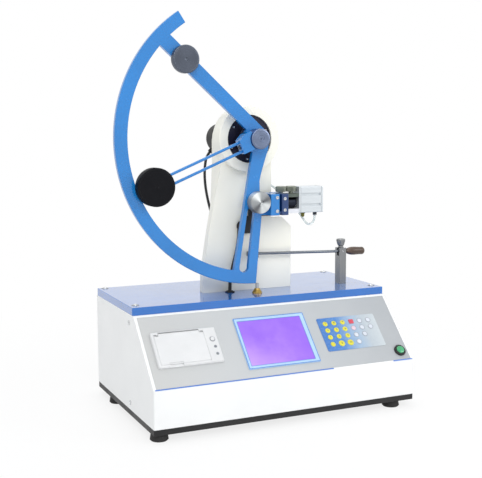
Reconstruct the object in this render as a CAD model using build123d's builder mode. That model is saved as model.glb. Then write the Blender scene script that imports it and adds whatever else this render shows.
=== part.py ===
from build123d import *
from math import atan2, cos, degrees, hypot, pi, radians, sin, tan
import os

# Pendulum tear strength tester for paper and film. A sector pendulum swings on a column that
# stands on a desk cabinet, and the cabinet's sloping front holds the printer, display and keypad.
# All sizes are in millimetres. Sketch planes read x from the cabinet's left side, y from its
# front and z from the underside of its base plate.

os.makedirs("parts", exist_ok=True)

# Clearances
running = 0.05        # radial, between a shaft or pin and its bore
moving = 0.3          # between faces that pass each other
slip = 0.2            # round a piece that drops into a panel cut-out

# Cabinet
cabinet_d = 314.0
foot_h = 12.0
foot_r = 15.0
foot_inset_left = 14.0
foot_inset_right = 35.5
foot_front_y = 17.0
foot_back_y = 240.0
stud_r = 3.0
plinth_t = 9.5
sheet = 2.0
knee_z = 71.6
slope_y = 97.0
cabinet_top_z = 171.7
deck_t = 13.0
deck_front_y = 101.0
deck_back_y = 311.0
panel_t = 3.0
panel_margin = 5.0
panel_end = 2.5
ledge = 6.0
screw_r = 2.0
screw_head_r = 4.5
screw_head_t = 2.5

# Pendulum: the specimen line is 104 mm from the axis, the standard clamp radius
pivot_x = 239.0
rim_clear = 18.3      # from the top plate up to the rim's lowest point
sector_r = 253.0
rim_w = 22.0
rim_tip = 33.7        # degrees left of straight up
arm_angle = 48.4      # degrees left of straight up
arm_low = 0.5
arm_high = 25.5
hub_lobe_r = 23.5
frame_front_y = 136.0
frame_t = 8.0
shaft_r = 7.5
cap_r = 17.7
cap_front_y = 114.0
rod_angle = 22.5      # degrees below straight left
rod_r = 2.5
rod_spread = 8.0
weight_front_y = 118.0
main_weight_r = 32.25
main_weight_reach = 203.1
upper_weight_r = 23.3
upper_weight_at = (-131.0, 132.0)
upper_weight_t = 11.0

# Clamps: a swinging pair and a standing pair that meet across the blade gap
jaw_top = -95.5
jaw_bottom = -133.0
jaw_seam = 38.0       # from the pivot, the fixed jaw face of both clamps
jaw_open = 4.8
jaw_grip = 12.6
clamp_front_y = 119.0
clamp_w = 25.0
blade_gap = 2.8
guide_r = 2.2
guide_v = -128.5
knob_at = (1.5, -109.5)
knob_r = 19.1
knob_t = 18.7

# Column
column_y = 178.0
column_t = 14.0
column_left = 155.0
column_right = 329.0
shoulder_drop = 142.0   # from the axis down to the column's right shoulder
spine_foot = 74.0
head_r = 58.0
head_front_y = 161.0
head_bore_r = 42.0
spine_r = 40.0
spine_back_y = 237.0
rib_t = 10.0
rib_left = 195.0
rib_right = 285.0
bearing_r = 17.5
bearing_w = 11.0
encoder_r = 27.5
encoder_len = 58.0

# Air cylinder on the standing clamp
cylinder_x = 91.0
cylinder_len = 49.0
cylinder_h = 47.0
cylinder_w = 28.0
cylinder_top = -86.0
plunger_r = 10.0
plunger_x = 62.0

# Knife
knife_inset = 49.0     # from the cabinet's right side
knife_y = 168.0
knife_rise = 60.8      # over the top plate
post_w = 14.5
post_front_y = 162.0
post_d = 17.0
lever_r = 2.5
lever_reach = 7.0      # right of the pendulum's axis
blade_t = 1.0
handle_r = 7.5

# Things on the sloping panel: x and the distance up the slope from the knee
printer_w = 112.5
printer_h = 66.0
printer_left = 17.5
printer_low = 37.0
bezel_t = 4.6
paper_w = 57.5
paper_r = 15.0
printer_gap = 38.0
display_low = 17.0
display_w = 133.0
display_h = 99.0
screen_w = 119.0
screen_h = 87.0
display_gap = 21.5
keypad_low = 33.7
keypad_w = 115.5
keypad_h = 66.3
key_r = 4.7
key_pitch = 17.35
keypad_gap = 42.0      # from the keypad to the cabinet's right side
start_inset = 20.2
start_s = 19.9
start_r = 7.2

# Rear connections
rear_reach = 14.0
air_x = 60.0
air_z = 60.0
air_bore_r = 4.05
inlet_inset = 80.0
inlet_z = 60.0

# Worked out from the sizes above
display_left = printer_left + printer_w + printer_gap
keypad_left = display_left + display_w + display_gap
cabinet_w = keypad_left + keypad_w + keypad_gap
start_x = cabinet_w - start_inset
inlet_x = cabinet_w - inlet_inset
knife_x = cabinet_w - knife_inset
lever_left_x = pivot_x + lever_reach
overhang = sector_r - pivot_x
left_x = -(cabinet_w + overhang) / 2 + overhang
front_y = -(cabinet_d + rear_reach) / 2
slope = degrees(atan2(cabinet_top_z - knee_z, slope_y))
slope_len = hypot(cabinet_top_z - knee_z, slope_y)
deck_z = cabinet_top_z + deck_t
pivot_z = deck_z + rim_clear + sector_r
knife_z = deck_z + knife_rise
frame_back_y = frame_front_y + frame_t
clamp_back_y = clamp_front_y + clamp_w
stand_front_y = clamp_back_y + blade_gap
stand_back_y = stand_front_y + clamp_w
jaw_mid_y = stand_front_y + clamp_w / 2
seat_x = jaw_seam + jaw_open
jaw_right = seat_x + jaw_grip
swing_guide_ys = (clamp_front_y + 4.5, clamp_front_y + 12.5)
stand_guide_ys = (jaw_mid_y - 6.0, jaw_mid_y + 6.0)


def face(y):
    """A plane that looks out of the front at depth y."""
    return Plane(origin=(left_x, front_y + y, foot_h), x_dir=(1, 0, 0), z_dir=(0, -1, 0))


def swing(y):
    """The same plane centred on the pendulum's axis."""
    return Plane(origin=(left_x + pivot_x, front_y + y, foot_h + pivot_z), x_dir=(1, 0, 0), z_dir=(0, -1, 0))


def level(z):
    """A horizontal plane at height z."""
    return Plane(origin=(left_x, front_y, foot_h + z))


def side(x):
    """An upright plane that looks right at distance x, its sketch in y and z."""
    return Plane(origin=(left_x + x, front_y, foot_h), x_dir=(0, 1, 0), z_dir=(1, 0, 0))


def beside(u):
    """The same plane at u right of the pendulum's axis, its sketch in y and height over the axis."""
    return Plane(origin=(left_x + pivot_x + u, front_y, foot_h + pivot_z), x_dir=(0, 1, 0), z_dir=(1, 0, 0))


def panel(h):
    """The sloping panel's plane, h above its face, its sketch in x and distance up the slope."""
    a = radians(slope)
    normal = (0, -sin(a), cos(a))
    origin = (left_x, front_y + h * normal[1], foot_h + knee_z + h * normal[2])
    return Plane(origin=origin, x_dir=(1, 0, 0), z_dir=normal)


def spot(x, y, z):
    """A point of the cabinet's frame in the part's own frame."""
    return Vector(left_x + x, front_y + y, foot_h + z)


def stand(x, y, z):
    """A horizontal plane centred on a point of the cabinet's frame."""
    return Plane(origin=spot(x, y, z))


def on_face(u, v, y):
    """A plane that looks out of the front, centred on a point given from the pendulum's axis."""
    return Plane(origin=spot(pivot_x + u, y, pivot_z + v), x_dir=(1, 0, 0), z_dir=(0, -1, 0))


def discs(plane, length, r, places=((0, 0),), mode=Mode.ADD):
    """Round bars or holes at places on a plane."""
    with BuildSketch(plane) as profile:
        with Locations(*places):
            Circle(r)
    extrude(profile.sketch, amount=length, mode=mode)


def block(plane, length, x0, y0, x1, y1, corner=0.0, mode=Mode.ADD):
    """A bar between two corners of a plane, with its long edges rounded."""
    with BuildSketch(plane) as profile:
        with Locations(((x0 + x1) / 2, (y0 + y1) / 2)):
            if corner > 0:
                RectangleRounded(x1 - x0, y1 - y0, corner)
            else:
                Rectangle(x1 - x0, y1 - y0)
    extrude(profile.sketch, amount=length, mode=mode)


def turned(plane, points, mode=Mode.ADD):
    """A piece turned about a plane's normal, from points of radius and height along it."""
    upright = Plane(origin=plane.origin, x_dir=plane.x_dir, z_dir=-plane.y_dir)
    with BuildSketch(upright) as profile:
        with BuildLine():
            Polyline(*points, close=True)
        make_face()
    axis = Axis(plane.origin, plane.z_dir)
    revolve(profile.sketch, axis=axis, mode=mode)


def save(builder, name):
    """Label a finished sub-part and write it."""
    builder.part.label = name
    export_step(builder.part, f"parts/{name}.step")


# Cabinet

foot_xs = (foot_inset_left, cabinet_w - foot_inset_right)
foot_places = [(x, y) for x in foot_xs for y in (foot_front_y, foot_back_y)]

with BuildPart() as base_plate:
    block(level(0), plinth_t, 0, 0, cabinet_w, cabinet_d, corner=2.0)
    discs(level(0), plinth_t, stud_r, foot_places, mode=Mode.SUBTRACT)
save(base_plate, "base_plate")

with BuildPart() as feet:
    for place in foot_places:
        turned(stand(*place, -foot_h), [
            (0, 1.5), (5, 1.5), (5, 0), (foot_r - 2, 0), (foot_r, 2), (foot_r - 1.5, foot_h - 1), (foot_r - 2.5, foot_h),
            (stud_r, foot_h), (stud_r, foot_h + plinth_t - 1), (0, foot_h + plinth_t - 1)])
save(feet, "feet")

wall_screws = [(120.0, 157.0), (120.0, 22.0)]
deck_screws = [(x, y) for x in (12.0, cabinet_w - 12.0) for y in (122.0, 302.0)]
outer_side = [(0, plinth_t), (0, knee_z), (slope_y, cabinet_top_z), (cabinet_d, cabinet_top_z), (cabinet_d, plinth_t)]

with BuildPart() as housing:
    with BuildSketch(side(0)):
        with BuildLine():
            Polyline(*outer_side, close=True)
        make_face()
    extrude(amount=cabinet_w)
    front_seams = housing.edges().filter_by(Axis.Z).group_by(Axis.Y)[0]
    fillet(front_seams, radius=2.5)
    seat_t = panel_t + sheet
    lean = seat_t / cos(radians(slope))
    with BuildSketch(side(sheet)) as hollow:
        with BuildLine():
            Polyline((sheet, plinth_t), (sheet, knee_z + sheet * tan(radians(slope)) - lean),
                     (slope_y + (lean - sheet) / tan(radians(slope)), cabinet_top_z - sheet),
                     (cabinet_d - sheet, cabinet_top_z - sheet), (cabinet_d - sheet, plinth_t), close=True)
        make_face()
    extrude(hollow.sketch, amount=cabinet_w - 2 * sheet, mode=Mode.SUBTRACT)
    block(panel(0), -panel_t, panel_margin, panel_end, cabinet_w - panel_margin, slope_len - panel_end - 1.0,
          mode=Mode.SUBTRACT)
    block(panel(0), -seat_t - 1, panel_margin + ledge, panel_end + ledge, cabinet_w - panel_margin - ledge,
          slope_len - panel_end - 1.0 - ledge, mode=Mode.SUBTRACT)
    block(level(cabinet_top_z), -sheet - 1, 16, deck_front_y + 18, cabinet_w - 16, deck_back_y - 18, corner=4.0,
          mode=Mode.SUBTRACT)
    discs(level(cabinet_top_z), -sheet, screw_r, deck_screws, mode=Mode.SUBTRACT)
    discs(side(0), cabinet_w, screw_r, wall_screws, mode=Mode.SUBTRACT)
    block(face(cabinet_d), sheet, inlet_x - 24, inlet_z - 13, inlet_x + 24, inlet_z + 37, mode=Mode.SUBTRACT)
    discs(face(cabinet_d), sheet, 8.0, [(air_x, air_z)], mode=Mode.SUBTRACT)
save(housing, "housing")

with BuildPart() as housing_screws:
    for place in deck_screws:
        turned(stand(*place, deck_z), [
            (0, 1.4), (1.6, 1.4), (1.9, 0.2), (3.0, screw_head_t - 1.2), (screw_head_r - 1, 1.2), (screw_head_r, 0),
            (screw_r, 0), (screw_r, -deck_t - sheet), (0, -deck_t - sheet)])
    for place in wall_screws:
        for x, outward in ((0, -1), (cabinet_w, 1)):
            head_plane = Plane(origin=spot(x, place[0], place[1]), x_dir=(0, 1, 0), z_dir=(outward, 0, 0))
            turned(head_plane, [(0, 1.2), (1.6, 1.2), (2.6, screw_head_t - 1.2), (screw_head_r - 1, 1.0),
                                (screw_head_r, 0), (screw_r, 0), (screw_r, -8), (0, -8)])
save(housing_screws, "housing_screws")

grommet_r = 6.5
supply_foot = (203.0, 168.8)
signal_foot = (231.6, 287.0)
post_mid_y = post_front_y + post_d / 2
pin_u = 3.9
pin_y = frame_front_y + frame_t / 2
pin_place = (pivot_x + pin_u, pin_y)
bush_r = 6.0
column_bolts = [(x, y) for x in (pivot_x - 23.0, pivot_x + 25.0) for y in (column_y + 30.0, column_y + 62.0)]
bolt_r = 4.0

with BuildPart() as top_plate:
    block(level(cabinet_top_z), deck_t, 0, deck_front_y, cabinet_w, deck_back_y, corner=2.0)
    chamfer(top_plate.faces().sort_by(Axis.Z)[-1].edges(), length=0.8)
    discs(level(cabinet_top_z), deck_t, screw_r, deck_screws, mode=Mode.SUBTRACT)
    discs(level(cabinet_top_z), deck_t, grommet_r, [supply_foot, signal_foot], mode=Mode.SUBTRACT)
    discs(level(cabinet_top_z), deck_t, bush_r, [pin_place], mode=Mode.SUBTRACT)
    discs(level(cabinet_top_z), deck_t, bolt_r, column_bolts, mode=Mode.SUBTRACT)
    discs(level(cabinet_top_z), deck_t, 3.0, [(knife_x, post_mid_y)], mode=Mode.SUBTRACT)
save(top_plate, "top_plate")

with BuildPart() as grommets:
    for place, bore_r in ((supply_foot, 3.0), (signal_foot, 2.5)):
        turned(stand(*place, deck_z), [(bore_r, 3.0), (bore_r + 2, 3.0), (grommet_r + 2, 1.2), (grommet_r + 2, 0),
                                       (grommet_r, 0), (grommet_r, -deck_t), (bore_r, -deck_t)])
save(grommets, "grommets")

# Front panel with its printer, display, keypad and start button

tub_w = paper_w + 2.5
tub_left = printer_left + 18.5
tub_low = printer_low + 11.0
tub_high = printer_low + printer_h - 8.0
tub_depth = 36.0
tub_wall = 2.0
door_hinge_s = printer_low + printer_h - 5.0
door_hinge_h = 2.2
door_left = printer_left + 5.5
door_right = printer_left + 90.5
door_low = printer_low + 5.0
door_t = 3.2
barrel_r = 2.2
hinge_pin_r = 1.25
hinge_pin_len = 3.0
feed_x = printer_left + 102.7
feed_s = printer_low + 42.8
feed_r = 3.6
start_collar_r = 10.5

with BuildPart() as front_panel:
    block(panel(-panel_t), panel_t, panel_margin + slip, panel_end + slip, cabinet_w - panel_margin - slip,
          slope_len - panel_end - 1.0 - slip)
    block(panel(-panel_t), panel_t, printer_left + 3, printer_low + 3, printer_left + printer_w - 3,
          printer_low + printer_h - 3, mode=Mode.SUBTRACT)
    block(panel(-panel_t), panel_t, display_left + 4, display_low + 4, display_left + display_w - 4,
          display_low + display_h - 4, mode=Mode.SUBTRACT)
    discs(panel(-panel_t), panel_t, start_collar_r - 2, [(start_x, start_s)], mode=Mode.SUBTRACT)
save(front_panel, "front_panel")

with BuildPart() as printer_body:
    with BuildSketch(panel(0)) as rim_low:
        with Locations((printer_left + printer_w / 2, printer_low + printer_h / 2)):
            RectangleRounded(printer_w, printer_h, 3)
    extrude(rim_low.sketch, amount=bezel_t)
    chamfer(printer_body.faces().sort_by(Axis((0, 0, 0), panel(0).z_dir))[-1].edges(), length=1.6)
    block(panel(0), -8.0, printer_left + 3.2, printer_low + 3.2, printer_left + printer_w - 3.2,
          printer_low + printer_h - 3.2)
    block(panel(-8.0), -(tub_depth + tub_wall - 8.0), tub_left - tub_wall, tub_low - tub_wall,
          tub_left + tub_w + tub_wall, tub_high + tub_wall)
    block(panel(-8.0), -14.0, tub_left + tub_w + tub_wall, tub_low, printer_left + printer_w - 4, tub_high)
    block(panel(bezel_t), -(tub_depth + bezel_t), tub_left, tub_low, tub_left + tub_w, tub_high, mode=Mode.SUBTRACT)
    block(panel(bezel_t), door_t - bezel_t - 2.2, door_left - moving, door_low - moving, door_right + moving,
          door_hinge_s, mode=Mode.SUBTRACT)
    block(panel(bezel_t), -bezel_t - 0.3, tub_left - 5 - moving, door_hinge_s - 3, tub_left + tub_w + 5 + moving,
          door_hinge_s + 3.4, mode=Mode.SUBTRACT)
    block(panel(bezel_t), -2.0, tub_left + 1, printer_low - 1, tub_left + 24, door_low, mode=Mode.SUBTRACT)
    hinge_plane = Plane(origin=panel(door_hinge_h).from_local_coords((tub_left - 5 - moving - hinge_pin_len,
                        door_hinge_s, 0)), x_dir=(0, 1, 0), z_dir=(1, 0, 0))
    discs(hinge_plane, tub_w + 10 + 2 * moving + 2 * hinge_pin_len, hinge_pin_r + running, mode=Mode.SUBTRACT)
    discs(panel(bezel_t), -30, feed_r + 0.1, [(feed_x, feed_s)], mode=Mode.SUBTRACT)
    discs(panel(1.0), -30, feed_r + 1.4, [(feed_x, feed_s)], mode=Mode.SUBTRACT)
save(printer_body, "printer_body")

with BuildPart() as printer_door:
    block(panel(bezel_t - door_t), door_t, door_left, door_low, door_right, door_hinge_s - 1.0, corner=1.2)
    block(panel(bezel_t - door_t), door_t + 1, tub_left - 30, door_hinge_s - 3.3, tub_left - 5, door_hinge_s,
          mode=Mode.SUBTRACT)
    block(panel(bezel_t - door_t), door_t + 1, tub_left + tub_w + 5, door_hinge_s - 3.3, door_right + 1,
          door_hinge_s, mode=Mode.SUBTRACT)
    barrel_plane = Plane(origin=panel(door_hinge_h).from_local_coords((tub_left - 5, door_hinge_s, 0)),
                         x_dir=(0, 1, 0), z_dir=(1, 0, 0))
    discs(barrel_plane, tub_w + 10, barrel_r)
    pin_plane = barrel_plane.offset(-hinge_pin_len)
    discs(pin_plane, tub_w + 10 + 2 * hinge_pin_len, hinge_pin_r)
    block(panel(bezel_t - 1.2), 2.0, tub_left + 1, door_low - 1, tub_left + 24, door_low + 2.5, mode=Mode.SUBTRACT)
save(printer_door, "printer_door")

roll_s = tub_high - paper_r - moving
roll_h = -tub_depth + paper_r + moving

with BuildPart() as paper_roll:
    roll_plane = Plane(origin=panel(roll_h).from_local_coords((tub_left + tub_w / 2 - paper_w / 2, roll_s, 0)),
                       x_dir=(0, 1, 0), z_dir=(1, 0, 0))
    discs(roll_plane, paper_w, paper_r)
    discs(roll_plane, paper_w, 6.0, mode=Mode.SUBTRACT)
save(paper_roll, "paper_roll")

with BuildPart() as feed_button:
    discs(panel(bezel_t - 6.0), 7.0, feed_r, [(feed_x, feed_s)])
    discs(panel(-1.6), 2.3, feed_r + 1.1, [(feed_x, feed_s)])
save(feed_button, "feed_button")

frame_lip = 2.0
glass_t = 1.2

with BuildPart() as display_frame:
    block(panel(0), frame_lip, display_left, display_low, display_left + display_w, display_low + display_h,
          corner=1.5)
    outline = display_frame.faces().sort_by(Axis((0, 0, 0), panel(0).z_dir))[-1].edges()
    chamfer(outline, length=0.7)
    block(panel(0), -14.0, display_left + 4.2, display_low + 4.2, display_left + display_w - 4.2,
          display_low + display_h - 4.2)
    screen_left = display_left + (display_w - screen_w) / 2 - 1.5
    screen_low = display_low + (display_h - screen_h) / 2 - 0.5
    block(panel(frame_lip), -frame_lip + 0.6, screen_left, screen_low, screen_left + screen_w,
          screen_low + screen_h, mode=Mode.SUBTRACT)
save(display_frame, "display_frame")

with BuildPart() as display_glass:
    block(panel(0.6), glass_t, screen_left + 0.1, screen_low + 0.1, screen_left + screen_w - 0.1,
          screen_low + screen_h - 0.1)
save(display_glass, "display_glass")

keypad_t = 0.8
key_rows = (54.3, 40.7, 27.1, 13.0)
keys_per_column = (4, 4, 4, 4, 3, 2)

with BuildPart() as keypad:
    block(panel(0), keypad_t, keypad_left, keypad_low, keypad_left + keypad_w, keypad_low + keypad_h, corner=3.0)
save(keypad, "keypad")

with BuildPart() as keys:
    for column_index, key_count in enumerate(keys_per_column):
        for row_index in range(key_count):
            wide = column_index in (1, 2) and row_index == len(key_rows) - 1
            key_x = keypad_left + 13.7 + key_pitch * column_index
            key_plane = Plane(origin=panel(keypad_t).from_local_coords((key_x, keypad_low + key_rows[row_index], 0)),
                              x_dir=(1, 0, 0), z_dir=panel(0).z_dir)
            cap = key_r + (1.2 if wide else 0)
            turned(key_plane, [(0, 0), (cap, 0), (cap, 0.5), (cap - 1, 1.0), (0, 1.2)])
save(keys, "keys")

start_plane = Plane(origin=panel(0).from_local_coords((start_x, start_s, 0)), x_dir=(1, 0, 0), z_dir=panel(0).z_dir)

with BuildPart() as button_bezel:
    turned(start_plane, [(start_r + moving, 4.0), (start_collar_r - 1.5, 4.0), (start_collar_r, 2.6),
                         (start_collar_r, 0), (start_collar_r - 2.2, 0), (start_collar_r - 2.2, -22.0),
                         (0, -22.0), (0, -20.0), (start_r + moving, -20.0)])
save(button_bezel, "button_bezel")

with BuildPart() as start_button:
    turned(start_plane, [(0, 5.2), (start_r - 1.6, 5.0), (start_r, 4.0), (start_r, -12.0), (0, -12.0)])
save(start_button, "start_button")

# Inside and behind the cabinet

board_left = 130.0
board_front = 150.0
board_w = 170.0
board_d = 110.0
board_t = 1.6
pillar_h = 8.0

with BuildPart() as control_board:
    board_right = board_left + board_w
    board_back = board_front + board_d
    parts_z = plinth_t + pillar_h + board_t
    block(level(plinth_t + pillar_h), board_t, board_left, board_front, board_right, board_back)
    pillars = [(x, y) for x in (board_left + 6, board_right - 6) for y in (board_front + 6, board_back - 6)]
    discs(level(plinth_t), pillar_h, 3.0, pillars)
    block(level(parts_z), 22.0, board_left + 20, board_front + 20, board_left + 60, board_front + 60)
    block(level(parts_z), 4.0, board_left + 85, board_front + 25, board_left + 115, board_front + 55)
    block(level(parts_z), 14.0, board_right - 38, board_front + 20, board_right - 14, board_back - 15)
save(control_board, "control_board")

valve_x = 85.0
valve_front = 200.0
valve_h = 30.0

with BuildPart() as solenoid_valve:
    block(level(plinth_t), valve_h, valve_x - 15, valve_front, valve_x + 15, valve_front + 48)
    discs(level(plinth_t + valve_h), 34.0, 11.0, [(valve_x, valve_front + 15)])
    discs(level(plinth_t + valve_h), 12.0, 4.5, [(valve_x, valve_front + 38)])
save(solenoid_valve, "solenoid_valve")

rocker_w = 13.0
rocker_h = 22.0

with BuildPart() as power_inlet:
    block(face(cabinet_d + 2.5), 2.5, inlet_x - 29, inlet_z - 17, inlet_x + 29, inlet_z + 41, corner=3.0)
    block(face(cabinet_d), 24.0, inlet_x - 23.8, inlet_z - 12.8, inlet_x + 23.8, inlet_z + 36.8)
    block(face(cabinet_d + 2.5), 18.5, inlet_x - 12, inlet_z - 8, inlet_x + 12, inlet_z + 8, corner=2.0,
          mode=Mode.SUBTRACT)
    for blade_x, blade_z in ((inlet_x - 7, inlet_z - 2), (inlet_x, inlet_z + 2), (inlet_x + 7, inlet_z - 2)):
        block(face(cabinet_d), 16.5, blade_x - 1, blade_z - 2, blade_x + 1, blade_z + 2)
    rocker_z = inlet_z + 25.0
    block(face(cabinet_d + 2.5), 12.0, inlet_x - rocker_h / 2 - moving, rocker_z - rocker_w / 2 - moving,
          inlet_x + rocker_h / 2 + moving, rocker_z + rocker_w / 2 + moving, mode=Mode.SUBTRACT)
    rocker_axis = Plane(origin=spot(inlet_x, cabinet_d - 1.0, rocker_z - rocker_w / 2 - 3.0))
    discs(rocker_axis, rocker_w + 6.0, 1.5 + running, mode=Mode.SUBTRACT)
save(power_inlet, "power_inlet")

with BuildPart() as power_rocker:
    half = rocker_h / 2 - 1.2
    with BuildSketch(Plane(origin=spot(inlet_x, cabinet_d - 1.0, rocker_z - rocker_w / 2))) as rocker_side:
        with BuildLine():
            Polyline((-half, 2.0), (0, 1.6), (half, 4.6), (half, 0), (2.5, -3.0), (-2.5, -3.0), (-half, -1.0),
                     close=True)
        make_face()
    extrude(rocker_side.sketch, amount=rocker_w)
    discs(rocker_axis, rocker_w + 6.0, 1.5)
save(power_rocker, "power_rocker")

with BuildPart() as air_inlet:
    air_plane = Plane(origin=spot(air_x, cabinet_d, air_z), x_dir=(1, 0, 0), z_dir=(0, 1, 0))
    turned(air_plane, [(air_bore_r, rear_reach), (7.0, rear_reach), (8.0, rear_reach - 1.5), (8.0, 5.5), (11.0, 5.0),
                       (11.0, 0), (7.8, 0), (7.8, -22), (3.0, -22), (3.0, -2.0), (air_bore_r, -2.0)])
save(air_inlet, "air_inlet")

# Column

flange_front_y = head_front_y + 3.0
flange_t = 13.0
bearing_front_y = flange_front_y + 2.0
base_flange_t = 14.0
rear_bearing_y = spine_back_y - 1.0 - bearing_w

with BuildPart() as column:
    with BuildSketch(face(column_y + column_t)) as slab:
        with BuildLine():
            foot_l = (column_left, deck_z)
            bend_l = (column_left + 0.5, deck_z + 33.3)
            neck_l = (pivot_x - 48.0, pivot_z - 45.0)
            shoulder_z = pivot_z - shoulder_drop
            Line(foot_l, bend_l)
            ThreePointArc(bend_l, (pivot_x - 68.0, (bend_l[1] + neck_l[1]) / 2 - 1.5), neck_l)
            Polyline(neck_l, (pivot_x - 39.0, pivot_z - 11.0), (pivot_x + 36.0, pivot_z - 11.0),
                     (pivot_x + 50.0, pivot_z - 26.0), (pivot_x + 50.0, shoulder_z), (pivot_x + 72.0, shoulder_z),
                     (column_right, shoulder_z - 17.0), (column_right, deck_z), foot_l)
        make_face()
    extrude(slab.sketch, amount=column_t)
    discs(swing(column_y + column_t), column_y + column_t - head_front_y, head_r)
    front_edge = column.faces().sort_by(Axis.Y)[0].edges()
    fillet(front_edge, radius=1.5)
    discs(swing(spine_back_y), spine_back_y - column_y - column_t, spine_r)
    for rib_x in (rib_left, rib_right - rib_t):
        with BuildSketch(side(rib_x)) as rib:
            with BuildLine():
                Polyline((column_y + column_t, deck_z), (column_y + column_t, pivot_z), (spine_back_y - 8, pivot_z),
                         (spine_back_y - 8, pivot_z - 40), (column_y + spine_foot, deck_z + base_flange_t),
                         (column_y + spine_foot, deck_z), close=True)
            make_face()
        extrude(rib.sketch, amount=rib_t)
    block(level(deck_z), base_flange_t, rib_left - 7, column_y + column_t, rib_right + 11,
          column_y + spine_foot + 4, corner=4.0)
    for web_z in (deck_z + 100.0, pivot_z - 81.0):
        block(level(web_z), 8.0, rib_left, column_y + column_t, rib_right, column_y + 40)
    discs(level(deck_z), base_flange_t, bolt_r, column_bolts, mode=Mode.SUBTRACT)
    discs(swing(spine_back_y), spine_back_y - head_front_y, 13.0, mode=Mode.SUBTRACT)
    discs(swing(flange_front_y + flange_t), flange_front_y + flange_t - head_front_y, head_bore_r, mode=Mode.SUBTRACT)
    discs(swing(spine_back_y), spine_back_y - rear_bearing_y, bearing_r, mode=Mode.SUBTRACT)
save(column, "column")

with BuildPart() as column_screws:
    for place in column_bolts:
        turned(stand(*place, deck_z + base_flange_t), [(0, 3.5), (3.2, 3.5), (3.2, 8.0), (6.5, 8.0), (6.5, 0),
                                                       (bolt_r, 0), (bolt_r, -base_flange_t - deck_t),
                                                       (0, -base_flange_t - deck_t)])
save(column_screws, "column_screws")

with BuildPart() as bearing_flange:
    turned(swing(flange_front_y), [(bearing_r, -2.0), (29.0, -2.0), (29.0, 0), (head_bore_r - 0.8, 0),
                                   (head_bore_r, -0.8), (head_bore_r, -flange_t), (bearing_r, -flange_t)])
    with BuildSketch(swing(flange_front_y)) as recesses:
        with PolarLocations(35.5, 6, start_angle=24.3):
            Circle(2.6)
    extrude(recesses.sketch, amount=-1.5, mode=Mode.SUBTRACT)
save(bearing_flange, "bearing_flange")

with BuildPart() as pivot_bearings:
    for bearing_y in (bearing_front_y, rear_bearing_y):
        turned(swing(bearing_y), [(shaft_r + running, 0), (10.6, 0), (10.6, -0.6), (14.4, -0.6), (14.4, 0),
                                  (bearing_r, 0), (bearing_r, -bearing_w), (14.4, -bearing_w), (14.4, 0.6 - bearing_w),
                                  (10.6, 0.6 - bearing_w), (10.6, -bearing_w), (shaft_r + running, -bearing_w)])
save(pivot_bearings, "pivot_bearings")

spindle_r = 5.0
encoder_y = spine_back_y + 3.0
shaft_front_y = cap_front_y + 8.0

with BuildPart() as pivot_shaft:
    turned(swing(shaft_front_y), [(0, 0), (shaft_r - 0.8, 0), (shaft_r, -0.8),
                                  (shaft_r, shaft_front_y - spine_back_y), (spindle_r, shaft_front_y - spine_back_y),
                                  (spindle_r, shaft_front_y - encoder_y - 15.0), (0, shaft_front_y - encoder_y - 15.0)])
save(pivot_shaft, "pivot_shaft")

with BuildPart() as encoder:
    turned(swing(encoder_y), [(spindle_r + running, 3.0), (20.0, 3.0), (20.0, 0), (encoder_r - 1, 0), (encoder_r, -1),
                              (encoder_r, 2 - encoder_len), (encoder_r - 2, -encoder_len), (0, -encoder_len),
                              (0, -18.0), (spindle_r + running, -18.0)])
    gland_angle = 228.0
    gland_dir = (cos(radians(gland_angle)), 0, sin(radians(gland_angle)))
    gland_y = 290.0
    gland_len = 6.5
    gland_start = spot(pivot_x, gland_y, pivot_z) + Vector(*gland_dir) * (encoder_r - 2)
    gland_plane = Plane(origin=gland_start, x_dir=(0, 1, 0), z_dir=gland_dir)
    discs(gland_plane, gland_len + 2, 4.5)
save(encoder, "encoder")

# Cords: straight runs joined by arcs as large as the runs allow


def cord_radii(points):
    """The largest arc at each corner of a route, from its shorter run and its turn."""
    radii = []
    for before, corner, after in zip(points, points[1:], points[2:]):
        turn = radians((corner - before).get_angle(after - corner))
        radii.append(0.45 * min((corner - before).length, (after - corner).length) / tan(turn / 2))
    return radii


def sways(start, end, places):
    """Points between two ends, each at a share of the way and a distance right of the straight line."""
    return [start + (end - start) * share + Vector(right, 0, 0) for share, right in places]


def cord(points, r):
    """A round cord along a route of points."""
    radii = cord_radii(points)
    print("cord radii", [round(radius, 1) for radius in radii])
    with BuildLine() as route:
        FilletPolyline(*points, radius=radii)
    start = Plane(origin=points[0], z_dir=points[1] - points[0])
    with BuildSketch(start) as section:
        Circle(r)
    sweep(section.sketch, path=route.wire())
    return route.wire().length


signal_r = 2.5
grommet_top = deck_z + 3.0
signal_start = gland_start + Vector(*gland_dir) * (gland_len + 2)
signal_end = spot(*signal_foot, grommet_top)
signal_sway = [(0.110, -12.1), (0.196, -14.0), (0.287, -13.1), (0.379, -10.0), (0.472, -5.8), (0.567, -1.5),
               (0.668, 1.8), (0.772, 3.0), (0.867, 2.8)]
signal_route = [signal_start, signal_start + Vector(*gland_dir) * 10, *sways(signal_start, signal_end, signal_sway),
                signal_end + Vector(0, 0, 13), signal_end]

with BuildPart() as encoder_cable:
    cable_len = cord(signal_route, signal_r)
    print("cable", round(cable_len, 1), round(encoder_cable.part.volume / (pi * signal_r**2), 1))
save(encoder_cable, "encoder_cable")

hose_r = 3.0
elbow_u = -17.0
elbow_z = -149.0
elbow_y = 171.0
hose_top = elbow_z - 9.0
hose_start = spot(pivot_x + elbow_u, elbow_y, pivot_z + hose_top)
hose_end = spot(*supply_foot, grommet_top)
hose_sway = [(0.272, 2.4), (0.449, 0.7), (0.626, -1.5), (0.789, -2.6)]
hose_route = [hose_start, hose_start - Vector(0, 0, 11.5), *sways(hose_start, hose_end, hose_sway),
              hose_end + Vector(0, 0, 12), hose_end]

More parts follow.
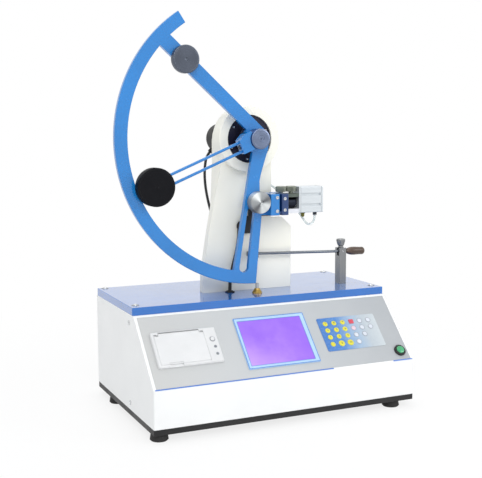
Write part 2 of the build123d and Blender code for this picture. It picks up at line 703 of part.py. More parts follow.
with BuildPart() as supply_hose:
    hose_len = cord(hose_route, hose_r)
    print("hose", round(hose_len, 1), round(supply_hose.part.volume / (pi * hose_r**2), 1))
save(supply_hose, "supply_hose")

# Pendulum


def polar(r, left_of_up):
    """A point at r from the axis, at an angle in degrees left of straight up."""
    return (-r * sin(radians(left_of_up)), r * cos(radians(left_of_up)))


arm_dir = Vector(*polar(1.0, arm_angle), 0)
arm_normal = Vector(cos(radians(arm_angle)), sin(radians(arm_angle)), 0)
rim_in = sector_r - rim_w


def on_arm(offset, reach):
    """A point of the arm at an offset above its centre line through the axis and a reach along it."""
    point = arm_normal * offset + arm_dir * reach
    return (point.X, point.Y)


def arm_meets_rim(offset):
    """Where an edge of the arm meets the inside of the rim."""
    return on_arm(offset, (rim_in**2 - offset**2) ** 0.5)


leg_left_top = (-6.0, -22.0)
leg_left_bottom = (-42.0, -(rim_in**2 - 42.0**2) ** 0.5)
lobe_right = jaw_seam

with BuildPart() as pendulum_frame:
    with BuildSketch(swing(frame_back_y)) as plate:
        with BuildLine():
            tip_out = polar(sector_r, rim_tip)
            tip_in = polar(rim_in, rim_tip)
            arm_top = arm_meets_rim(arm_high)
            shoulder = on_arm(arm_high - 2.0, 5.0)
            ThreePointArc((0, -sector_r), (-sector_r, 0), tip_out)
            Line(tip_out, tip_in)
            ThreePointArc(tip_in, polar(rim_in, (rim_tip + arm_angle - 6.3) / 2), arm_top)
            Line(arm_top, shoulder)
            ThreePointArc(shoulder, (hub_lobe_r, 1.0), (20.6, -26.7))
            Polyline((20.6, -26.7), (9.6, -61.0), (7.0, -74.0), (7.8, jaw_top), (lobe_right, jaw_top),
                     (lobe_right, jaw_bottom), (11.2, jaw_bottom), (5.3, -192.0), (0, -sector_r))
        make_face()
        with BuildLine():
            arm_under = arm_meets_rim(arm_low)
            ThreePointArc(leg_left_bottom, polar(rim_in, 105.0), arm_under)
            Line(arm_under, on_arm(arm_low, 22.0))
            Line(on_arm(arm_low, 22.0), leg_left_top)
            Line(leg_left_top, leg_left_bottom)
        make_face(mode=Mode.SUBTRACT)
        Circle(hub_lobe_r)
        with BuildLine():
            slot_top_l = (-16.2, -125.0)
            slot_top_r = (-2.6, -125.0)
            slot_low_l = (-31.8, -222.0)
            slot_low_r = (-14.6, -222.0)
            ThreePointArc(slot_top_l, (-8.2, -118.6), slot_top_r)
            Line(slot_top_r, slot_low_r)
            ThreePointArc(slot_low_r, (-24.2, -232.0), slot_low_l)
            Line(slot_low_l, slot_top_l)
        make_face(mode=Mode.SUBTRACT)
        Circle(shaft_r + 4.5, mode=Mode.SUBTRACT)
        with Locations(knob_at):
            Circle(5.0 + running, mode=Mode.SUBTRACT)
    extrude(plate.sketch, amount=frame_t)
    rim_edges = pendulum_frame.faces().sort_by(Axis.Y)[0].outer_wire().edges()
    chamfer(rim_edges.filter_by(GeomType.CIRCLE).sort_by(SortBy.LENGTH)[-1:], length=0.8)
save(pendulum_frame, "pendulum_frame")

with BuildPart() as pivot_hub:
    turned(swing(frame_back_y), [(shaft_r, frame_t), (shaft_r + 4.5, frame_t), (shaft_r + 4.5, 0), (26.0, 0),
                                 (26.0, -5.0), (25.0, -6.0), (12.5, -6.0), (12.5, -18.5), (shaft_r, -18.5)])
save(pivot_hub, "pivot_hub")

cap_depth = frame_front_y - cap_front_y

with BuildPart() as hub_cap:
    turned(swing(cap_front_y), [(0, -1.5), (4.0, -1.5), (4.0, -0.5), (6.5, -0.5), (6.5, 0), (cap_r - 1.8, 0),
                                (cap_r, -1.8), (cap_r, -cap_depth), (shaft_r, -cap_depth),
                                (shaft_r, cap_front_y - shaft_front_y), (0, cap_front_y - shaft_front_y)])
save(hub_cap, "hub_cap")

# The balance rods leave the hub along their own line
rod_turn = 180.0 + rod_angle


def along_rod(reach, across=0.0):
    """A point at a reach from the axis along the rods and an offset across them."""
    a = radians(rod_turn)
    return (reach * cos(a) + across * sin(a), reach * sin(a) - across * cos(a))


block_end = 37.0
block_half = 12.2
rod_y = (weight_front_y + frame_front_y) / 2
rod_seat = 16.0

with BuildPart() as rod_block:
    with BuildSketch(swing(frame_front_y)) as lug:
        with BuildLine():
            Polyline(along_rod(8, -block_half), along_rod(block_end, -block_half), along_rod(block_end, block_half),
                     along_rod(24, block_half + 7.0), along_rod(11, block_half + 7.0), along_rod(8, block_half),
                     close=True)
        make_face()
        Circle(cap_r + 0.5, mode=Mode.SUBTRACT)
    extrude(lug.sketch, amount=frame_front_y - weight_front_y)
    for across in (-rod_spread, rod_spread):
        rod_origin = swing(rod_y).from_local_coords((*along_rod(block_end, across), 0))
        rod_axis = swing(0).from_local_coords((*along_rod(1.0), 0)) - swing(0).origin
        rod_plane = Plane(origin=rod_origin, x_dir=(0, 1, 0), z_dir=rod_axis)
        discs(rod_plane, -rod_seat, rod_r, mode=Mode.SUBTRACT)
save(rod_block, "rod_block")

weight_seat = 22.0
rod_tip = main_weight_reach - (main_weight_r**2 - (rod_spread + rod_r) ** 2) ** 0.5 + weight_seat

with BuildPart() as balance_rods:
    for across in (-rod_spread, rod_spread):
        rod_origin = swing(rod_y).from_local_coords((*along_rod(block_end - rod_seat, across), 0))
        rod_plane = Plane(origin=rod_origin, x_dir=(0, 1, 0), z_dir=rod_axis)
        discs(rod_plane, rod_tip - block_end + rod_seat, rod_r)
save(balance_rods, "balance_rods")

with BuildPart() as main_weight:
    weight_t = frame_front_y - weight_front_y
    turned(on_face(*along_rod(main_weight_reach), weight_front_y), [
        (0, 0), (main_weight_r - 1, 0), (main_weight_r, -1), (main_weight_r, 1 - weight_t),
        (main_weight_r - 1, -weight_t), (0, -weight_t)])
    for across in (-rod_spread, rod_spread):
        rod_origin = swing(rod_y).from_local_coords((*along_rod(rod_tip, across), 0))
        rod_plane = Plane(origin=rod_origin, x_dir=(0, 1, 0), z_dir=rod_axis)
        discs(rod_plane, -60.0, rod_r, mode=Mode.SUBTRACT)
save(main_weight, "main_weight")

with BuildPart() as upper_weight:
    turned(on_face(*upper_weight_at, frame_front_y), [
        (0, 0), (upper_weight_r, 0), (upper_weight_r, upper_weight_t - 1), (upper_weight_r - 1, upper_weight_t),
        (3.0, upper_weight_t), (2.0, upper_weight_t - 1.5), (0, upper_weight_t - 1.5)])
save(upper_weight, "upper_weight")

# Swinging clamp: a block on the pendulum's lobe and a jaw that the knob draws in

block_left = 21.2
screw_places = ((33.3, -102.0), (33.4, -125.6))

with BuildPart() as clamp_body:
    block(swing(frame_front_y), frame_front_y - clamp_front_y, block_left, jaw_bottom, jaw_seam, jaw_top)
    chamfer(clamp_body.faces().sort_by(Axis.Y)[0].edges(), length=0.6)
    for guide_y in swing_guide_ys:
        discs(beside(block_left + 1.0), 30.0, guide_r + running, [(guide_y, guide_v)], mode=Mode.SUBTRACT)
save(clamp_body, "clamp_body")

with BuildPart() as clamp_screws:
    for screw_u, screw_v in screw_places:
        turned(on_face(screw_u, screw_v, clamp_front_y), [(0, 0.6), (1.5, 0.6), (1.5, 1.4), (2.8, 1.4), (3.2, 1.0),
                                                          (3.2, 0), (0, 0)])
save(clamp_screws, "clamp_screws")

jaw_reach = 11.0

with BuildPart() as clamp_jaw:
    block(swing(clamp_back_y), clamp_w, seat_x, jaw_bottom, jaw_right, jaw_top)
    chamfer(clamp_jaw.faces().sort_by(Axis.Y)[0].edges(), length=0.6)
    for guide_y in swing_guide_ys:
        discs(beside(seat_x), -jaw_open - jaw_reach, guide_r, [(guide_y, guide_v)])
save(clamp_jaw, "clamp_jaw")

with BuildPart() as jaw_screws:
    for screw_v in (-104.2, -124.2):
        turned(on_face(seat_x + 5.5, screw_v, clamp_front_y), [(0, 0.6), (1.4, 0.6), (1.4, 1.3), (2.6, 1.3), (3.0, 0.9),
                                                               (3.0, 0), (0, 0)])
save(jaw_screws, "jaw_screws")

with BuildPart() as clamp_knob:
    turned(on_face(*knob_at, frame_front_y - moving), [
        (0, knob_t - 1), (4.0, knob_t - 1), (5.0, knob_t), (knob_r - 1.2, knob_t), (knob_r, knob_t - 1.2),
        (knob_r, 1.2), (knob_r - 1.2, 0), (5.0, 0), (5.0, -frame_t), (0, -frame_t)])
save(clamp_knob, "clamp_knob")

# Standing clamp on the column's bracket, closed by the air cylinder

plunger_v = (cylinder_top - cylinder_h / 2) - 5.0
bar_top = -98.0
bar_low = plunger_v + plunger_r + moving
foot_top = plunger_v - plunger_r - moving
cylinder_low = cylinder_top - cylinder_h
cylinder_y = jaw_mid_y + 1.5
bracket_left = -6.0

with BuildPart() as clamp_bracket:
    block(swing(column_y), column_y - stand_back_y, 4.0, -138, jaw_right + 1.0, jaw_top - 2.0, corner=1.5)
    block(swing(column_y), column_y - stand_back_y, jaw_right + 1.0, foot_top, cylinder_x, bar_top)
    block(swing(column_y), column_y - stand_back_y, bracket_left, -168, 12, -137)
    block(swing(stand_back_y), clamp_w - 1.0, jaw_right + 1.6, bar_low, cylinder_x, bar_top)
    discs(beside(bracket_left), 8.0, 2.2, [(column_y - 3.1, elbow_z)], mode=Mode.SUBTRACT)
save(clamp_bracket, "clamp_bracket")

with BuildPart() as fixed_clamp:
    block(swing(stand_back_y), clamp_w, 17.0, jaw_bottom, jaw_seam, jaw_top)
    chamfer(fixed_clamp.faces().sort_by(Axis.Y)[0].edges(), length=0.5)
    for guide_y in stand_guide_ys:
        discs(beside(18.0), 30.0, guide_r + running, [(guide_y, guide_v)], mode=Mode.SUBTRACT)
save(fixed_clamp, "fixed_clamp")

with BuildPart() as fixed_jaw:
    block(swing(stand_back_y - moving), clamp_w - moving, seat_x, jaw_bottom, jaw_right, jaw_top)
    for guide_y in stand_guide_ys:
        discs(beside(seat_x), -jaw_open - 14.0, guide_r, [(guide_y, guide_v)])
save(fixed_jaw, "fixed_jaw")

rod_len = 26.0

with BuildPart() as jaw_plunger:
    plunger_plane = Plane(origin=beside(jaw_right).from_local_coords((cylinder_y, plunger_v, 0)), x_dir=(0, 1, 0),
                          z_dir=(1, 0, 0))
    turned(plunger_plane, [(0, 0), (4.0, 0), (4.0, plunger_x - jaw_right), (plunger_r - 0.8, plunger_x - jaw_right),
                           (plunger_r, plunger_x - jaw_right + 0.8), (plunger_r, cylinder_x - 5.0 - jaw_right),
                           (5.0, cylinder_x - 5.0 - jaw_right), (5.0, cylinder_x + rod_len - jaw_right),
                           (0, cylinder_x + rod_len - jaw_right)])
save(jaw_plunger, "jaw_plunger")

setting_r = 9.6
setting_neck_r = 4.0
setting_neck_h = 3.2

with BuildPart() as setting_screws:
    for setting_u in (cylinder_x - 3 * setting_r - 1.8, cylinder_x - setting_r - 1.0):
        turned(stand(pivot_x + setting_u, jaw_mid_y, pivot_z + bar_top), [
            (0, 0), (setting_neck_r, 0), (setting_neck_r, setting_neck_h), (setting_r - 1.0, setting_neck_h),
            (setting_r, setting_neck_h + 1.0), (setting_r, 11.8), (setting_r - 1.4, 13.2), (0, 13.4)])
save(setting_screws, "setting_screws")

with BuildPart() as air_cylinder:
    block(beside(cylinder_x), cylinder_len, cylinder_y - cylinder_w / 2, cylinder_low, cylinder_y + cylinder_w / 2,
          cylinder_top, corner=1.5)
    for groove_v in (cylinder_low + 14.0, cylinder_low + 33.0):
        block(beside(cylinder_x + 5.0), cylinder_len - 10.0, cylinder_y - cylinder_w / 2 - 1, groove_v - 2.2,
              cylinder_y - cylinder_w / 2 + 2.5, groove_v + 2.2, mode=Mode.SUBTRACT)
    discs(plunger_plane.offset(cylinder_x - jaw_right), rod_len + 6.0, 5.0 + running, mode=Mode.SUBTRACT)
save(air_cylinder, "air_cylinder")

with BuildPart() as cylinder_foot:
    block(beside(jaw_right + 2.6), cylinder_x - jaw_right - 2.6, stand_front_y + 0.5, cylinder_low, stand_back_y,
          foot_top - 0.5)
save(cylinder_foot, "cylinder_foot")

vent_u = 104.0
tube_u = 129.0
port_y = cylinder_y - 3.0

with BuildPart() as vent_fitting:
    vent_plane = Plane(origin=spot(pivot_x + vent_u, port_y, pivot_z + cylinder_low), x_dir=(1, 0, 0),
                       z_dir=(0, 0, -1))
    turned(vent_plane, [(0, 0), (3.2, 0), (3.2, 1.5), (2.8, 5.5), (1.6, 8.0), (0, 8.0)])
save(vent_fitting, "vent_fitting")

tube_r = 2.0
tube_end_z = pivot_z - 84.0
tube_end_y = column_y + 28.0

with BuildPart() as push_fittings:
    port_plane = Plane(origin=spot(pivot_x + tube_u, port_y, pivot_z + cylinder_low), x_dir=(1, 0, 0),
                       z_dir=(0, 0, -1))
    turned(port_plane, [(0, 0), (3.6, 0), (3.6, 5.0), (3.0, 6.0), (0, 6.0)])
    rear_plane = Plane(origin=spot(rib_right, tube_end_y, tube_end_z), x_dir=(0, 1, 0), z_dir=(1, 0, 0))
    turned(rear_plane, [(0, 0), (4.5, 0), (4.5, 6.0), (3.5, 8.0), (0, 8.0)])
    elbow_plane = Plane(origin=beside(bracket_left).from_local_coords((column_y - 3.1, elbow_z, 0)), x_dir=(0, 1, 0),
                        z_dir=(-1, 0, 0))
    discs(elbow_plane, 2.0, 3.0)
    elbow_top = spot(pivot_x + elbow_u, elbow_y, pivot_z + elbow_z)
    with BuildLine() as bend:
        bend_start = spot(pivot_x - 7.0, elbow_y, pivot_z + elbow_z)
        FilletPolyline(bend_start, elbow_top, elbow_top - Vector(0, 0, 9.0), radius=5.0)
    with BuildSketch(Plane(origin=bend_start, x_dir=(0, 1, 0), z_dir=(-1, 0, 0))) as bend_section:
        Circle(4.2)
    sweep(bend_section.sketch, path=bend.wire())
save(push_fittings, "push_fittings")

tube_start = spot(pivot_x + tube_u, port_y, pivot_z + cylinder_low - 6.0)
tube_bends = [(125.8, 159, -153.2), (118.5, 161, -156.6), (112.2, 163.8, -152), (109.3, 169, -143.5),
              (105.5, 177, -134), (99.5, 185.5, -123.5), (91.5, 193.5, -112), (81.5, 200, -101), (71.5, 204.2, -91.5)]
tube_route = [tube_start, tube_start - Vector(0, 0, 6.5),
              *[spot(pivot_x + u, y, pivot_z + v) for u, y, v in tube_bends],
              spot(rib_right + 16.0, tube_end_y, tube_end_z), spot(rib_right + 8.0, tube_end_y, tube_end_z)]

with BuildPart() as air_tube:
    tube_len = cord(tube_route, tube_r)
    print("tube", round(tube_len, 1), round(air_tube.part.volume / (pi * tube_r**2), 1))
save(air_tube, "air_tube")

# Knife: a lever on a post, with the blade in the gap between the clamps

with BuildPart() as knife_post:
    post_left = knife_x - post_w / 2
    block(level(deck_z), knife_z + 6.5 - deck_z, post_left, post_front_y, post_left + post_w, post_front_y + post_d,
          corner=0.8)
    slot_w = 2 * (lever_r + 1.2)
    block(level(knife_z - 8.0), 30.0, post_left - 1, knife_y - slot_w / 2, post_left + post_w + 1,
          knife_y + slot_w / 2, mode=Mode.SUBTRACT)
    discs(face(post_front_y + post_d), post_d, 1.5, [(knife_x, knife_z)], mode=Mode.SUBTRACT)
    discs(level(deck_z - 10.0), 10.0, 3.0, [(knife_x, post_mid_y)])
save(knife_post, "knife_post")

with BuildPart() as lever_pin:
    discs(face(post_front_y + post_d), post_d + 0.4, 1.5, [(knife_x, knife_z)])
save(lever_pin, "lever_pin")

rod_right_x = knife_x + 24.0

with BuildPart() as knife_lever:
    lever_plane = Plane(origin=spot(lever_left_x, knife_y, knife_z + 6.0), x_dir=(0, 1, 0),
                        z_dir=spot(rod_right_x, knife_y, knife_z - 0.8) - spot(lever_left_x, knife_y, knife_z + 6.0))
    lever_len = hypot(rod_right_x - lever_left_x, 6.8)
    discs(lever_plane, lever_len, lever_r)
    discs(face(knife_y + slot_w / 2 - moving), slot_w - 2 * moving, 4.0, [(knife_x, knife_z)])
    discs(face(knife_y + slot_w / 2 + 1), slot_w + 2, 1.5 + running, [(knife_x, knife_z)], mode=Mode.SUBTRACT)
    holder_back_y = knife_y + lever_r + 0.8
    blade_back_y = clamp_back_y + (blade_gap + blade_t) / 2
    block(face(holder_back_y), holder_back_y - blade_back_y, pivot_x - 2, knife_z + 1.5, pivot_x + 10, knife_z + 10.5,
          corner=1.0)
save(knife_lever, "knife_lever")

with BuildPart() as knife_blade:
    with BuildSketch(face(blade_back_y)) as sickle:
        with BuildLine():
            heel_z = knife_z + 2.5
            tip_z = pivot_z - 111.0
            heel_l = (pivot_x - 0.5, heel_z)
            tip = (pivot_x + 25.0, tip_z)
            heel_r = (pivot_x + 8.0, heel_z)
            Line(heel_r, heel_l)
            Spline(heel_l, (pivot_x + 4.5, heel_z + 0.64 * (tip_z - heel_z)), tip, tangents=[(0, 1), (0.62, 0.78)])
            Spline(tip, (pivot_x + 11.5, heel_z + 0.60 * (tip_z - heel_z)), heel_r, tangents=[(-0.45, -0.9), (0, -1)])
        make_face()
    extrude(sickle.sketch, amount=blade_t)
save(knife_blade, "knife_blade")

handle_x = knife_x + post_w / 2 + 1.4

with BuildPart() as lever_handle:
    handle_plane = Plane(origin=spot(handle_x, knife_y, knife_z - 0.3), x_dir=(0, 1, 0), z_dir=lever_plane.z_dir)
    handle_len = cabinet_w - handle_x - 0.2
    upright = Plane(origin=handle_plane.origin, x_dir=handle_plane.x_dir, z_dir=-handle_plane.y_dir)
    with BuildSketch(upright) as handle_profile:
        with BuildLine():
            Line((0, 0), (2.8, 0))
            Spline((2.8, 0), (handle_r - 0.4, 10.0), (handle_r, handle_len * 0.55), (handle_r - 0.3, handle_len - 5.0))
            ThreePointArc((handle_r - 0.3, handle_len - 5.0), (handle_r - 2.2, handle_len - 1.2),
                          (handle_r - 4.6, handle_len))
            Line((handle_r - 4.6, handle_len), (0, handle_len))
            Line((0, handle_len), (0, 0))
        make_face()
    revolve(handle_profile.sketch, axis=Axis(handle_plane.origin, handle_plane.z_dir))
    discs(lever_plane, lever_len, lever_r, mode=Mode.SUBTRACT)
save(lever_handle, "lever_handle")

knob_low_z = knife_z + 6.5

with BuildPart() as lock_knob:
    turned(stand(knife_x, post_mid_y, knob_low_z + moving), [
        (0, 0), (5.2, 0), (5.2, 1.2), (4.6, 2.0), (4.6, 3.0), (6.0, 4.0), (8.5, 13.0), (8.2, 15.2), (7.0, 16.2),
        (0, 16.2)])
save(lock_knob, "lock_knob")

# Pin that holds the raised pendulum, in its bush on the deck

pin_r = 3.0
rim_z = pivot_z - sector_r

with BuildPart() as pin_bush:
    bush_plane = stand(*pin_place, deck_z)
    turned(bush_plane, [(pin_r + running, 9.0), (4.4, 9.0), (5.2, 7.0), (8.6, 2.6), (8.8, 0), (bush_r, 0),
                        (bush_r, -deck_t - 6.0), (pin_r + running, -deck_t - 6.0)])
save(pin_bush, "pin_bush")

with BuildPart() as release_pin:
    turned(bush_plane, [(0, rim_z - moving - deck_z), (pin_r - 0.8, rim_z - moving - deck_z),
                        (pin_r, rim_z - moving - deck_z - 0.8), (pin_r, -deck_t - 12.0), (0, -deck_t - 12.0)])
save(release_pin, "release_pin")
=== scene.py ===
import bpy
import bmesh
from math import atan2, cos, hypot, pi, radians, sin
from mathutils import Matrix, Vector


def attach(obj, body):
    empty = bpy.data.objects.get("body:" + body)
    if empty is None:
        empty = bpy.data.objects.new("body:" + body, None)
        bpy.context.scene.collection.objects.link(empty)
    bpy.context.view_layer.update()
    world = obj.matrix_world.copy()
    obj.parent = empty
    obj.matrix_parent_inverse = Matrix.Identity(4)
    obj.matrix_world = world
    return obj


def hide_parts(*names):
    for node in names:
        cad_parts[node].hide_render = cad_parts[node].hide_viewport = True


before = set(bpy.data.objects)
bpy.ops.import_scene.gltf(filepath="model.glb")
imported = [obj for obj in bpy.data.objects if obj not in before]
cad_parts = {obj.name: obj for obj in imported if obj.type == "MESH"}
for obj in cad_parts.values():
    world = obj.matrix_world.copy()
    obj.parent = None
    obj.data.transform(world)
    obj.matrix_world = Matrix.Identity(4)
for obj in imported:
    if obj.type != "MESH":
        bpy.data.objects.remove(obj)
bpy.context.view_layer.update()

# Sizes shared with the solids, in millimetres of the cabinet's frame
CABINET_W = 480.0
DECK_T = 13.0
DECK_Z = 184.7
KNEE_Z = 71.6
SLOPE_DEPTH = 97.0
SLOPE = atan2(DECK_Z - DECK_T - KNEE_Z, SLOPE_DEPTH)
PIVOT_X = 239.0
PIVOT_Z = 456.0
BASE_FLANGE_T = 14.0
FLANGE_FRONT_Y = 165.3
ROD_ANGLE = radians(202.5)
ROD_BLOCK_END = 37.0
WEIGHT_REACH = 203.1
WEIGHT_R = 32.25
WEIGHT_T = 18.0
WEIGHT_FRONT_Y = 118.0
FRAME_FRONT_Y = 136.0
UPPER_WEIGHT_R = 23.3
UPPER_WEIGHT_T = 11.0
CLAMP_FRONT_Y = 119.0
CLAMP_MID_V = -109.5
KNOB_R = 19.1
CYLINDER_Y = 160.9
PORT_Y = 157.9
PORT_Z = 323.0
ENCODER_BACK_Y = 297.9
SHELL_BACK_Y = 316.5
PIN_FOOT_Y = 297.9
INLET_X = 400.0
INLET_Z = 60.0
PRINTER_LEFT = 17.5
PRINTER_LOW = 37.0
PRINTER_FACE = 4.6
KEYPAD_LEFT = 322.5
KEYPAD_LOW = 33.7
KEYPAD_T = 0.8
START_X = 459.8
START_S = 19.9
FRONT = Vector((0, -1, 0))
UP = Vector((0, 0, 1))
RIGHT = Vector((1, 0, 0))
PANEL_OUT = Vector((0, -sin(SLOPE), cos(SLOPE)))


def at(x, y, z):
    """A point of the cabinet's frame, given in millimetres."""
    return Vector((x - 233.0, y - 164.0, z + 12.0)) / 1000


def swing(u, v, y):
    """A point given from the pendulum's axis at depth y."""
    return at(PIVOT_X + u, y, PIVOT_Z + v)


def panel(x, s, h=0.0):
    """A point h above the sloping panel, at x and s up the slope."""
    return at(x, s * cos(SLOPE) - h * sin(SLOPE), KNEE_Z + s * sin(SLOPE) + h * cos(SLOPE))


# Camera, from the cabinet's corners in the photograph


def add_camera():
    data = bpy.data.cameras.new("camera")
    data.sensor_fit = "HORIZONTAL"
    data.sensor_width = 36.0
    data.lens = 68.56
    data.clip_end = 30
    eye = bpy.data.objects.new("camera", data)
    bpy.context.scene.collection.objects.link(eye)
    yaw, pitch, roll = radians(24.325), radians(6.79), radians(0.20)
    look = Vector((sin(yaw) * cos(pitch), cos(yaw) * cos(pitch), -sin(pitch)))
    right = Vector((cos(yaw), -sin(yaw), 0))
    down = look.cross(right)
    right, down = cos(roll) * right + sin(roll) * down, cos(roll) * down - sin(roll) * right
    eye.matrix_world = Matrix.Translation((-0.6762, -1.4734, 0.4840)) @ Matrix(
        ((right.x, -down.x, -look.x, 0),
         (right.y, -down.y, -look.y, 0),
         (right.z, -down.z, -look.z, 0),
         (0, 0, 0, 1)))
    bpy.context.scene.camera = eye


add_camera()

# Materials


def linear(r, g, b):
    """A colour as it looks on a screen, for a shader."""
    shares = (r / 255, g / 255, b / 255)
    return tuple(c / 12.92 if c <= 0.04 else ((c + 0.055) / 1.055) ** 2.4 for c in shares) + (1.0,)


def toned(color, factor, lift=0.0):
    """A colour made darker or lighter."""
    return tuple(min(1.0, c * factor + lift) for c in color[:3]) + (1,)


class Shader:
    """A material with its node tree, and short ways to add nodes."""

    def __init__(self, name):
        self.material = bpy.data.materials.new(name)
        self.material.use_nodes = True
        self.tree = self.material.node_tree
        self.principled = self.tree.nodes["Principled BSDF"]
        self.place = self.node("ShaderNodeTexCoord").outputs["Object"]

    def node(self, kind, inputs=(), **settings):
        made = self.tree.nodes.new(kind)
        for key, value in settings.items():
            setattr(made, key, value)
        for key, value in dict(inputs).items():
            if isinstance(value, bpy.types.NodeSocket):
                self.tree.links.new(value, made.inputs[key])
            else:
                made.inputs[key].default_value = value
        return made

    def stretch(self, scale, shift=(0, 0, 0)):
        """The object's coordinates, scaled and moved."""
        return self.node("ShaderNodeMapping", {"Vector": self.place, "Scale": scale,
                                               "Location": shift}).outputs["Vector"]

    def noise(self, scale, detail=3.0, rough=0.55, place=None):
        return self.node("ShaderNodeTexNoise", {"Vector": place or self.place, "Scale": scale, "Detail": detail,
                                                "Roughness": rough}).outputs["Fac"]

    def spread(self, value, low, high, out_low=0.0, out_high=1.0):
        return self.node("ShaderNodeMapRange", {"Value": value, "From Min": low, "From Max": high,
                                                "To Min": out_low, "To Max": out_high}).outputs["Result"]

    def maths(self, operation, a, b=0.0):
        return self.node("ShaderNodeMath", {0: a, 1: b}, operation=operation).outputs[0]

    def mix(self, factor, a, b):
        mixed = self.node("ShaderNodeMix", data_type="RGBA")
        for index, value in ((0, factor), (6, a), (7, b)):
            if isinstance(value, bpy.types.NodeSocket):
                self.tree.links.new(value, mixed.inputs[index])
            else:
                mixed.inputs[index].default_value = value
        return mixed.outputs[2]

    def ramp(self, value, stops):
        made = self.node("ShaderNodeValToRGB", {"Fac": value})
        while len(made.color_ramp.elements) < len(stops):
            made.color_ramp.elements.new(0.5)
        for element, (place, color) in zip(made.color_ramp.elements, stops):
            element.position = place
            element.color = color
        return made.outputs["Color"]

    def axis(self, letter, place=None):
        split = self.node("ShaderNodeSeparateXYZ", {0: place or self.place})
        return split.outputs[letter]

    def rounded(self, radius):
        """The normal, with the edges rounded."""
        return self.node("ShaderNodeBevel", {"Radius": radius}, samples=4).outputs["Normal"]

    def edges(self, radius):
        """1 on convex and concave edges, 0 on flat faces."""
        flat = self.node("ShaderNodeNewGeometry")
        meet = self.node("ShaderNodeVectorMath", {0: self.rounded(radius), 1: flat.outputs["Normal"]},
                         operation="DOT_PRODUCT")
        return self.spread(meet.outputs["Value"], 0.80, 0.995, 1.0, 0.0)

    def bump(self, height, strength, distance, normal=None):
        inputs = {"Height": height, "Strength": strength, "Distance": distance}
        if normal:
            inputs["Normal"] = normal
        return self.node("ShaderNodeBump", inputs).outputs["Normal"]

    def finish(self, color, rough, normal=None, **constants):
        """Links colour, roughness and normal, and sets the rest on the shader's own sockets."""
        for socket, value in (("Base Color", color), ("Roughness", rough), ("Normal", normal)):
            if isinstance(value, bpy.types.NodeSocket):
                self.tree.links.new(value, self.principled.inputs[socket])
            elif value is not None:
                self.principled.inputs[socket].default_value = value
        for socket, value in constants.items():
            self.principled.inputs[socket.replace("_", " ")].default_value = value
        return self.material


def enamel(name, color, shade=0.05, rough=0.3, peel=0.12, coat=0.5, round_r=0.0006, wear_and_highlight=0.35):
    """Paint on metal: orange peel, slight cloudiness, soft edges, and lighter edges that are part paint worn
    thin and part painted highlight.
    """
    s = Shader(name)
    base = linear(*color)
    dark = toned(base, 1 - shade * 2)
    light = toned(base, 1 + shade)
    cloud = s.noise(9.0, 4.0)
    fine = s.noise(160.0, 2.0)
    tone = s.mix(s.spread(cloud, 0.35, 0.65), dark, light)
    tone = s.mix(s.spread(fine, 0.3, 0.7, 0.0, 0.10), tone, light)
    # Lighter edges: paint worn thin in patches, together with a painted highlight along the edges.
    worn_and_lit_edges = s.maths("MULTIPLY", s.edges(round_r), s.spread(s.noise(240.0, 3.0), 0.42, 0.6))
    tone = s.mix(s.maths("MULTIPLY", worn_and_lit_edges, wear_and_highlight), tone, toned(base, 0.55, 0.40))
    bumped = s.bump(s.noise(620.0, 2.0), peel, 0.0002, s.rounded(round_r))
    return s.finish(tone, s.spread(s.noise(38.0, 4.0), 0.3, 0.7, rough * 0.85, rough * 1.2), bumped,
                    Coat_Weight=coat, Coat_Roughness=0.08)


def metal(name, color, rough=0.28, brush=(1, 1, 60), shade=0.08, depth=0.10, round_r=0.0004, full=1.0):
    """Ground or brushed metal, its lines running across the direction that brush stretches."""
    s = Shader(name)
    base = linear(*color)
    dark = toned(base, 1 - shade * 2.2)
    lines = s.noise(14.0, 6.0, 0.7, s.stretch(brush))
    cloud = s.noise(24.0, 4.0)
    tone = s.mix(s.spread(lines, 0.3, 0.7), dark, base)
    tone = s.mix(s.spread(cloud, 0.45, 0.75, 0.0, 0.5), tone, dark)
    # Lighter edges: a painted highlight, partly edge wear.
    edge = s.maths("MULTIPLY", s.edges(round_r), 0.35)
    tone = s.mix(edge, tone, toned(base, 1.35, 0.05))
    bumped = s.bump(lines, depth, 0.0002, s.rounded(round_r))
    level = s.spread(s.maths("ADD", lines, cloud), 0.6, 1.4, rough * 0.7, rough * 1.35)
    return s.finish(tone, level, bumped, Metallic=full)


def turned_metal(name, color, rough=0.24, pitch=2600.0, shade=0.10, centre=None, axis="Z", anisotropy=0.75,
                 metallic=1.0, coat=0.0, specular=0.5):
    """Metal faced on a lathe: fine rings round the piece's own axis, which spread highlights into rays."""
    s = Shader(name)
    base = linear(*color)
    dark = toned(base, 1 - shade * 2)
    shifted = s.stretch((1, 1, 1), shift=tuple(-c for c in centre) if centre else (0, 0, 0))
    first, second = {"Z": ("X", "Y"), "Y": ("X", "Z"), "X": ("Y", "Z")}[axis]
    square = s.maths("ADD", s.maths("POWER", s.axis(first, shifted), 2.0),
                     s.maths("POWER", s.axis(second, shifted), 2.0))
    reach = s.maths("SQRT", square)
    rings = s.maths("SINE", s.maths("MULTIPLY", reach, pitch))
    drift = s.noise(1.0, 3.0, 0.6, s.node("ShaderNodeCombineXYZ",
                                          {0: s.maths("MULTIPLY", reach, 420.0)}).outputs[0])
    tone = s.mix(s.spread(drift, 0.35, 0.65), dark, base)
    # Lighter edges: a painted highlight, partly edge wear.
    tone = s.mix(s.maths("MULTIPLY", s.edges(0.0005), 0.4), tone, toned(base, 1.3, 0.05))
    bumped = s.bump(rings, 0.05, 0.0001, s.rounded(0.0004))
    level = s.spread(s.maths("ADD", drift, s.noise(60.0, 3.0)), 0.7, 1.3, rough * 0.8, rough * 1.3)
    material = s.finish(tone, level, bumped, Metallic=metallic, Anisotropic=anisotropy, Coat_Weight=coat,
                        Specular_IOR_Level=specular)
    if not centre:
        tangent = s.node("ShaderNodeTangent", direction_type="RADIAL", axis=axis)
        s.tree.links.new(tangent.outputs["Tangent"], s.principled.inputs["Tangent"])
    return material


